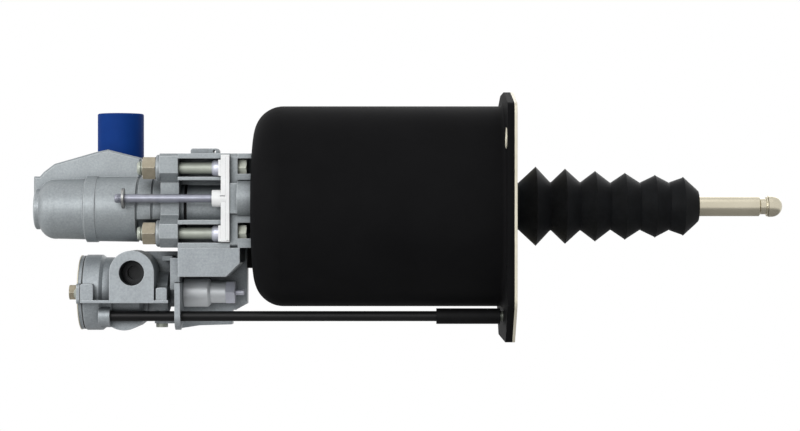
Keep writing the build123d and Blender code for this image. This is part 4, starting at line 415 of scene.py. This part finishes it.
NODE_FINISHES: dict[str, Finish] = {
    "cylinder_shell": GLOSS_ENAMEL, "flange_gasket": GLOSS_ENAMEL, "mounting_plate": CREAM_ZINC,
    "rod_guide": TURNED_ALUMINIUM, "guide_bush": SINTERED_BRONZE, "rod_wiper": SEAL_RUBBER,
    "boot": BOOT_RUBBER, "push_rod": GROUND_ROD, "rod_ring": GROUND_ROD, "air_piston": TURNED_ALUMINIUM,
    "piston_seal": SEAL_RUBBER, "piston_ring": FILLED_PLASTIC, "return_spring": SPRING_WIRE,
    "spring_seat": PALE_ZINC, "hydraulic_plunger": GROUND_ROD, "plunger_cup": SEAL_RUBBER,
    "hydraulic_cylinder": CAST_ALUMINIUM, "gland_bush": SINTERED_BRONZE, "gland_ring": SEAL_RUBBER,
    "port_cap": BLUE_CAP, "cage_casting": CAST_ALUMINIUM, "air_seal": SEAL_RUBBER, "cage_bolts": BOLT_ZINC,
    "cage_nuts": TAN_ZINC, "bolt_washers": CAST_ALUMINIUM, "shell_screws": PALE_ZINC,
    "indicator_bracket": WHITE_ACETAL, "bracket_washers": BLUE_WHITE_ZINC, "indicator_rod": LILAC_ZINC,
    "indicator_clip": RING_STEEL, "indicator_seal": SEAL_RUBBER, "valve_body": VALVE_BODY_ALUMINIUM,
    "valve_cover": VALVE_ALUMINIUM, "cover_gasket": FIBRE_GASKET, "cover_bolt": TAN_ZINC,
    "cover_screws": PALE_ZINC, "valve_seat": SINTERED_BRONZE, "relay_piston": TURNED_ALUMINIUM,
    "relay_seal": SEAL_RUBBER, "relay_spring": SPRING_WIRE, "inlet_poppet": SINTERED_BRONZE,
    "poppet_spring": SPRING_WIRE, "bleed_screw": BLUE_WHITE_ZINC, "exhaust_cover": FILLED_PLASTIC,
    "transfer_block": VALVE_ALUMINIUM, "transfer_plate": VALVE_ALUMINIUM, "plate_screws": PALE_ZINC,
    "block_screws": PALE_ZINC, "transfer_seal": SEAL_RUBBER, "breather_tube": TUBE_NYLON,
    "tube_stub": PALE_ZINC, "tube_sleeve": SEAL_RUBBER, "tube_clip": VALVE_ALUMINIUM, "clip_screw": PALE_ZINC,
}


def clear_selection() -> None:
    """Leave edit mode and deselect every object."""
    if bpy.context.mode != "OBJECT":
        bpy.ops.object.mode_set(mode="OBJECT")
    bpy.ops.object.select_all(action="DESELECT")


def activate(piece: bpy.types.Object) -> None:
    """Make one object the only selected and active one.

    Args:
        piece: Object to work on.
    """
    clear_selection()
    piece.select_set(True)
    bpy.context.view_layer.objects.active = piece


def settle(piece: bpy.types.Object) -> None:
    """Apply place, turn and scale, so that the object sits at the origin.

    Args:
        piece: Object to settle.
    """
    activate(piece)
    bpy.ops.object.transform_apply(location=True, rotation=True, scale=True)


def face_outwards(piece: bpy.types.Object, merge: float = WELD_M) -> None:
    """Merge doubled points and turn every face outwards.

    Args:
        piece: Mesh object.
        merge: Distance below which points are one.
    """
    activate(piece)
    bpy.ops.object.mode_set(mode="EDIT")
    bpy.ops.mesh.select_all(action="SELECT")
    bpy.ops.mesh.remove_doubles(threshold=merge)
    bpy.ops.mesh.normals_make_consistent(inside=False)
    bpy.ops.object.mode_set(mode="OBJECT")


def smooth_by_angle(piece: bpy.types.Object, degrees: float = 35.0) -> None:
    """Shade smooth, with edges kept above an angle.

    Args:
        piece: Mesh object.
        degrees: Angle between faces above which an edge stays sharp.
    """
    activate(piece)
    bpy.ops.object.shade_smooth_by_angle(angle=math.radians(degrees))


def paint(piece: bpy.types.Object, finish: Finish) -> None:
    """Give a piece one finish.

    Args:
        piece: Object to dress.
        finish: Finish that it gets.
    """
    piece.data.materials.clear()
    piece.data.materials.append(finish.material())


def deliver(piece: bpy.types.Object, finish: Finish, body: str) -> None:
    """Paint a finished piece and let it ride on its body.

    Args:
        piece: Finished object.
        finish: Finish that it gets.
        body: Body that carries it.
    """
    paint(piece, finish)
    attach(piece, body)
    LOG.info("%s: %d faces, on %s", piece.name, len(piece.data.polygons), body)


def drawn_line(name: str, places: Sequence[Vector], closed: bool) -> bpy.types.Object:
    """Draw a line of points by extruding one point from place to place.

    Args:
        name: Name of the piece.
        places: Points in metres.
        closed: Whether the last point joins the first.

    Returns:
        The object, left in edit mode with the whole line selected.
    """
    clear_selection()
    bpy.ops.mesh.primitive_plane_add(size=MM, location=(0, 0, 0))
    piece = bpy.context.active_object
    piece.name = name
    bpy.ops.object.mode_set(mode="EDIT")
    bpy.ops.mesh.select_all(action="SELECT")
    bpy.ops.mesh.merge(type="CENTER")
    bpy.ops.transform.translate(value=places[0])
    stops = list(places) + ([places[0]] if closed else [])
    for here, there in zip(stops, stops[1:]):
        bpy.ops.mesh.extrude_vertices_move(TRANSFORM_OT_translate={"value": there - here})
    bpy.ops.mesh.select_all(action="SELECT")
    bpy.ops.mesh.remove_doubles(threshold=WELD_M)
    return piece


def turned_piece(name: str, profile: Sequence[tuple[float, float]], middle: Vector, axis: Vector,
                 steps: int = 96, closed: bool = True) -> bpy.types.Object:
    """Spin a profile of (along, radius) points round an axis.

    Args:
        name: Name of the piece.
        profile: Points in millimetres.
        middle: Point on the axis where along is zero, in metres.
        axis: Unit vector of the axis.
        steps: Faces round the axis.
        closed: Whether the profile's last point joins its first.

    Returns:
        The finished mesh object.
    """
    side = axis.orthogonal().normalized()
    places = [middle + axis * (along * MM) + side * (radius * MM) for along, radius in profile]
    piece = drawn_line(name, places, closed)
    bpy.ops.mesh.spin(steps=steps, angle=math.tau, center=middle, axis=axis)
    bpy.ops.object.mode_set(mode="OBJECT")
    face_outwards(piece)
    smooth_by_angle(piece)
    return piece


@dataclass
class Thread:
    """Screw thread as one winding ridge, for studs and tapped holes."""

    pitch_mm: float
    turns: int
    valley_r_mm: float
    crest_r_mm: float
    steps: int = 40
    crest_flat: float = 0.24
    root_in_stud_mm: float = 0.5
    root_in_hole_mm: float = 0.3

    def outline(self) -> list[tuple[float, float]]:
        """Outline of the ridge, from its root in the metal over the crest and back.

        Returns:
            Points of radius and height, in millimetres.
        """
        outward = self.crest_r_mm > self.valley_r_mm
        root = self.valley_r_mm - self.root_in_stud_mm if outward else self.valley_r_mm + self.root_in_hole_mm
        foot = self.pitch_mm * 0.5
        top = self.crest_flat * 0.5 * self.pitch_mm
        return [(root, -foot), (self.valley_r_mm, -foot), (self.crest_r_mm, -top),
                (self.crest_r_mm, top), (self.valley_r_mm, foot), (root, foot)]

    def wind(self, name: str) -> bpy.types.Object:
        """Wind the ridge up from the origin along +Z.

        Args:
            name: Name of the piece.

        Returns:
            The ridge, closed along its whole length.
        """
        piece = drawn_line(name, [Vector((radius * MM, 0, up * MM)) for radius, up in self.outline()], True)
        bpy.ops.mesh.edge_face_add()
        bpy.ops.object.mode_set(mode="OBJECT")
        screw = piece.modifiers.new("winding", "SCREW")
        screw.axis = "Z"
        screw.angle = math.tau
        screw.screw_offset = self.pitch_mm * MM
        screw.iterations = self.turns
        screw.steps = screw.render_steps = self.steps
        screw.use_merge_vertices = True
        screw.merge_threshold = WELD_M
        activate(piece)
        bpy.ops.object.modifier_apply(modifier=screw.name)
        return piece

    def place(self, name: str, start: Vector, axis: Vector) -> bpy.types.Object:
        """Wind a thread and set it on its stud or in its hole.

        Args:
            name: Name of the piece.
            start: Middle of the end that it starts from, in metres.
            axis: Unit vector that it runs along.

        Returns:
            The finished thread.
        """
        piece = self.wind(name)
        piece.rotation_mode = "QUATERNION"
        piece.rotation_quaternion = ALONG_Z.rotation_difference(axis)
        piece.location = start
        settle(piece)
        face_outwards(piece)
        smooth_by_angle(piece, 30.0)
        return piece


def merged_copy(node: str, name: str) -> bpy.types.Object:
    """Copy a CAD node's mesh into a piece of its own, with its doubled points merged.

    Args:
        node: Name of the CAD node.
        name: Name of the new piece.

    Returns:
        The copy, at the origin, with its faces outwards.
    """
    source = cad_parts[node]
    piece = bpy.data.objects.new(name, source.data.copy())
    bpy.context.scene.collection.objects.link(piece)
    face_outwards(piece, merge=2e-6)
    smooth_by_angle(piece, 40.0)
    return piece


@dataclass
class Studio:
    """Camera at the photograph's place, white surroundings, pale floor and soft lamps."""

    camera_at: tuple[float, float, float] = (-0.0674, -1.305, -0.0056)
    lens_mm: float = 96.75
    sensor_mm: float = 36.0
    floor_z: float = -0.30
    floor_r: float = 1.5
    floor_lift: float = 0.5
    floor_fade: tuple[float, float] = (0.35, 0.97)
    world_light: float = 0.36
    aim: tuple[float, float, float] = (-0.07, 0.0, -0.01)
    lamps: tuple[tuple[str, tuple[float, float, float], float, float], ...] = (
        ("key_softbox", (-0.65, -1.32, 0.50), 0.8, 11.0),
        ("top_softbox", (-0.10, -0.45, 1.10), 0.7, 1.8),
        ("left_softbox", (-1.25, -0.45, 0.30), 0.4, 3.4),
        ("back_softbox", (0.30, 0.95, 0.55), 0.9, 3.2),
    )

    def build(self) -> None:
        """Make the camera, the world, the floor and the lamps."""
        self.camera()
        self.world()
        self.floor()
        for name, place, size, watts in self.lamps:
            self.lamp(name, place, size, watts)
        LOG.info("studio: camera, world, floor and %d lamps", len(self.lamps))

    def camera(self) -> None:
        """Camera that looks level along +Y, as the photograph does."""
        data = bpy.data.cameras.new("photo_camera")
        data.lens = self.lens_mm
        data.sensor_width = self.sensor_mm
        camera = bpy.data.objects.new("photo_camera", data)
        camera.location = self.camera_at
        camera.rotation_euler = (math.radians(90), 0, 0)
        bpy.context.scene.collection.objects.link(camera)
        bpy.context.scene.camera = camera

    def world(self) -> None:
        """White world that lights the object softly and shows white in the camera, in metal and in glass."""
        world = bpy.data.worlds.new("white_studio")
        bpy.context.scene.world = world
        world.use_nodes = True
        tree = world.node_tree
        tree.nodes.clear()
        path = add_node(tree, "ShaderNodeLightPath").outputs
        first = add_node(tree, "ShaderNodeMath", {"operation": "MAXIMUM"}, {
            0: path["Is Camera Ray"], 1: path["Is Glossy Ray"]})
        seen = add_node(tree, "ShaderNodeMath", {"operation": "MAXIMUM"}, {
            0: first.outputs[0], 1: path["Is Transmission Ray"]})
        soft = add_node(tree, "ShaderNodeBackground", {"in:Color": WHITE, "in:Strength": self.world_light})
        white = add_node(tree, "ShaderNodeBackground", {"in:Color": WHITE, "in:Strength": 1.0})
        mix = add_node(tree, "ShaderNodeMixShader", links={
            0: seen.outputs[0], 1: soft.outputs[0], 2: white.outputs[0]})
        add_node(tree, "ShaderNodeOutputWorld", links={"Surface": mix.outputs[0]})

    def floor(self) -> None:
        """Round pale floor well below the object, which keeps its shadow and fades out to white."""
        clear_selection()
        bpy.ops.mesh.primitive_circle_add(vertices=96, radius=self.floor_r, fill_type="NGON",
                                          location=(0, 0, self.floor_z))
        floor = bpy.context.active_object
        floor.name = "floor"
        settle(floor)
        made = bpy.data.materials.new("pale_floor")
        made.use_nodes = True
        tree = made.node_tree
        tree.nodes.clear()
        place = add_node(tree, "ShaderNodeTexCoord").outputs["Object"]
        away = add_node(tree, "ShaderNodeVectorMath", {"operation": "LENGTH"}, {"Vector": place})
        start, end = self.floor_fade
        fade = add_node(tree, "ShaderNodeMapRange", {
            "interpolation_type": "SMOOTHSTEP", "in:From Min": start * self.floor_r,
            "in:From Max": end * self.floor_r}, {"Value": away.outputs["Value"]})
        path = add_node(tree, "ShaderNodeLightPath").outputs
        tone = mix_colours(tree, path["Is Glossy Ray"], "e0e0e0", "b4b4b4")
        matt = add_node(tree, "ShaderNodeBsdfDiffuse", links={"Color": tone})
        white = add_node(tree, "ShaderNodeEmission", {"in:Color": WHITE, "in:Strength": 1.0})
        lift = add_node(tree, "ShaderNodeMath", {"operation": "MULTIPLY"}, {0: path["Is Camera Ray"]})
        lift.inputs[1].default_value = self.floor_lift
        pale = add_node(tree, "ShaderNodeMixShader", links={
            0: lift.outputs[0], 1: matt.outputs[0], 2: white.outputs[0]})
        clear = add_node(tree, "ShaderNodeBsdfTransparent")
        mix = add_node(tree, "ShaderNodeMixShader", links={
            0: fade.outputs[0], 1: pale.outputs[0], 2: clear.outputs[0]})
        add_node(tree, "ShaderNodeOutputMaterial", links={"Surface": mix.outputs[0]})
        floor.data.materials.append(made)

    def lamp(self, name: str, place: tuple[float, float, float], size: float, watts: float) -> None:
        """Square soft lamp that points at the middle of the object.

        Args:
            name: Name of the lamp.
            place: Where it hangs, in metres.
            size: Side of the square, in metres.
            watts: Power, in watts.
        """
        data = bpy.data.lights.new(name, "AREA")
        data.size = size
        data.energy = watts
        lamp = bpy.data.objects.new(name, data)
        lamp.location = place
        aim = Vector(self.aim) - Vector(place)
        lamp.rotation_euler = aim.to_track_quat("-Z", "Y").to_euler()
        bpy.context.scene.collection.objects.link(lamp)


@dataclass
class Boot:
    """Rubber boot with narrow folds, spun round the push rod."""

    length_mm: float = 113.4
    stroke_mm: float = 50.0
    wall_mm: float = 1.6
    collar_r_mm: float = 14.3
    bore_r_mm: float = 6.15
    crest_round_mm: float = 0.9
    crest_drop_mm: float = 0.45
    crest_from_r_mm: float = 17.0
    collar_mm: tuple[float, float] = (0.1, 4.4)
    mouth_mm: tuple[float, float] = (6.0, 11.1)
    lip_mm: float = 4.5
    folds_mm: tuple[tuple[float, float], ...] = (
        (14.8, 24.0), (23.9, 14.6), (32.7, 22.8), (41.9, 14.6), (50.9, 21.4), (60.2, 14.3),
        (69.0, 20.3), (78.1, 14.3), (87.2, 19.0), (95.7, 14.3), (104.2, 17.8))
    shoulder_mm: tuple[float, float] = (112.2, 10.5)

    def outline(self) -> list[tuple[float, float]]:
        """Closed outline of the wall, outside first, as distance from the plate and radius.

        Returns:
            Points in millimetres.
        """
        collar_x, collar_end = self.collar_mm
        outer = [(collar_x, self.collar_r_mm), (collar_end, self.collar_r_mm)]
        for along, radius in self.folds_mm:
            crest = radius > self.crest_from_r_mm
            step = self.crest_round_mm * (0.5 if crest else 0.8)
            drop = self.crest_drop_mm if crest else -self.crest_drop_mm
            outer += [(along - step, radius - drop), (along, radius), (along + step, radius - drop)]
        shoulder_x, shoulder_r = self.shoulder_mm
        outer += [(shoulder_x - 0.5, shoulder_r + 0.5), (shoulder_x, shoulder_r),
                  (self.length_mm, shoulder_r - 1.2), (self.length_mm, self.bore_r_mm)]
        lip_x = shoulder_x - self.lip_mm
        mouth_x, mouth_r = self.mouth_mm
        inner = [(lip_x, self.bore_r_mm), (lip_x, shoulder_r - self.wall_mm)]
        inner += [(along, radius - self.wall_mm * 1.35) for along, radius in reversed(self.folds_mm)]
        inner += [(mouth_x, mouth_r), (collar_x, mouth_r)]
        return outer + inner

    def build(self) -> None:
        """Spin the wall round the push rod and put it in place of the CAD boot."""
        piece = turned_piece("folded_boot", self.outline(), Vector((0, 0, 0)), ALONG_X, 128)
        smooth_by_angle(piece, 28.0)
        deliver(piece, BOOT_RUBBER, HOUSING)
        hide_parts("boot")
        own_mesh(piece)


@dataclass
class Springs:
    """Coil springs, copied from the CAD coils."""

    strokes_mm: tuple[tuple[str, str, float], ...] = (
        ("return_spring", "rod_slide", 50.0), ("relay_spring", "relay_slide", 3.0),
        ("poppet_spring", "relay_slide", 2.0))

    def build(self) -> None:
        """Make the three springs from the CAD coils."""
        for node, joint, stroke in self.strokes_mm:
            piece = merged_copy(node, "coiled_" + node)
            deliver(piece, SPRING_WIRE, HOUSING)
            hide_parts(node)
            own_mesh(piece)


@dataclass
class Threads:
    """Threads of the cage studs, the air port and the indicator rod's end, and the port's floor."""

    stud_y_mm: float = 20.0
    stud_z_mm: tuple[float, float] = (22.7, -16.3)
    stud_start_x_mm: float = -223.3
    port_mm: tuple[float, float, float] = (-227.3, -24.6, -39.9)
    port_r_mm: float = 7.55
    port_start_mm: float = 0.9
    port_floor_start_mm: float = -1.0
    rod_start_mm: tuple[float, float, float] = (-236.1, -27.0, 4.6)

    def port_floor(self) -> None:
        """Floor and inner passage of the air port, a thin lining painted dark as painted shade for the deep
        hole.
        """
        profile = [(20.3, 0.0), (20.3, 4.3), (15.3, 4.3), (15.3, 7.5), (15.55, 7.5), (15.55, 4.55),
                   (20.55, 4.55), (20.55, 0.0)]
        middle = (Vector(self.port_mm) + ALONG_Y * self.port_floor_start_mm) * MM
        piece = turned_piece("air_port_floor_shade_lining", profile, middle, ALONG_Y, 48, closed=False)
        deliver(piece, SHADED_BORE, HOUSING)

    def build(self) -> None:
        """Wind each thread in its place and line the port's floor."""
        stud = Thread(pitch_mm=1.25, turns=2, valley_r_mm=3.95, crest_r_mm=4.3)
        places = [(side * self.stud_y_mm, z) for side in (-1, 1) for z in self.stud_z_mm]
        for number, (y, z) in enumerate(places):
            start = Vector((self.stud_start_x_mm, y, z)) * MM
            deliver(stud.place(f"stud_thread_{number}", start, ALONG_X), PALE_ZINC, HOUSING)
        port = Thread(pitch_mm=1.5, turns=8, valley_r_mm=self.port_r_mm, crest_r_mm=self.port_r_mm - 0.55,
                      steps=64)
        start = (Vector(self.port_mm) + ALONG_Y * self.port_start_mm) * MM
        # The port's thread gets the same dark colour, painted shade for the deep hole
        deliver(port.place("air_port_thread", start, ALONG_Y), SHADED_BORE, HOUSING)
        self.port_floor()
        rod = Thread(pitch_mm=0.8, turns=5, valley_r_mm=2.45, crest_r_mm=2.75, steps=32)
        piece = rod.place("indicator_rod_thread", Vector(self.rod_start_mm) * MM, ALONG_X)
        deliver(piece, LILAC_ZINC, ROD_GROUP)


@dataclass
class Trim:
    """Cover plate and hole rims with painted highlight, which the CAD leaves out, and a band over a flaw of
    the casting.
    """

    valve_axis_mm: tuple[float, float] = (4.0, -52.3)
    cover_x_mm: float = -260.4
    cover_r_mm: float = 22.6
    hub_r_mm: float = 6.1
    hole_yz_mm: tuple[float, float] = (60.7, 39.2)
    flange_x_mm: float = -5.6
    band_x_mm: float = -247.0

    def build(self) -> None:
        """Make the cover plate, the painted highlight rims and the band."""
        self.cover_plate()
        self.hole_highlight_rims()
        self.passage_band()

    def cover_plate(self) -> None:
        """Thin plated plate on the outside of the valve cover."""
        y, z = self.valve_axis_mm
        profile = [(0.0, self.hub_r_mm), (-0.45, self.hub_r_mm), (-0.6, self.hub_r_mm + 0.2),
                   (-0.6, self.cover_r_mm - 0.3), (-0.45, self.cover_r_mm), (0.0, self.cover_r_mm)]
        piece = turned_piece("cover_plate", profile, Vector((self.cover_x_mm, y, z)) * MM, ALONG_X)
        deliver(piece, CREAM_ZINC, HOUSING)

    def hole_highlight_rims(self) -> None:
        """Painted highlight round the two upper flange bolt holes, where light from above catches their
        edges.
        """
        profile = [(0.0, 5.3), (-0.45, 5.3), (-0.6, 5.45), (-0.6, 5.8), (-0.4, 6.0), (0.0, 6.1)]
        half_y, z = self.hole_yz_mm
        for number, y in enumerate((-half_y, half_y)):
            middle = Vector((self.flange_x_mm, y, z)) * MM
            piece = turned_piece(f"hole_highlight_rim_{number}", profile, middle, ALONG_X, 48)
            deliver(piece, CREAM_ZINC, HOUSING)

    def passage_band(self) -> None:
        """Cast band round the head's waist, where the drilled air passage breaks through the CAD casting."""
        y, z = self.valve_axis_mm
        profile = [(0.0, 19.5), (0.0, 20.9), (0.5, 21.3), (5.9, 21.3), (6.6, 20.9), (6.6, 19.5)]
        piece = turned_piece("passage_band", profile, Vector((self.band_x_mm, y, z)) * MM, ALONG_X)
        deliver(piece, VALVE_ALUMINIUM, HOUSING)


@dataclass
class CadNodes:
    """Finishes for every CAD node."""

    finishes: dict[str, Finish]

    def dress(self) -> None:
        """Give each CAD node its finish."""
        for node, finish in self.finishes.items():
            paint(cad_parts[node], finish)
        LOG.info("finishes on %d nodes", len(self.finishes))


def main() -> None:
    """Build the studio and the pieces in order and report each."""
    logging.basicConfig(level=logging.INFO, format="%(name)s: %(message)s")
    bpy.context.scene.view_settings.view_transform = "Standard"
    clear_selection()
    Studio().build()
    CadNodes(NODE_FINISHES).dress()
    for group in (Boot(), Springs(), Threads(), Trim()):
        group.build()
    clear_selection()


if __name__ == "__main__":
    main()
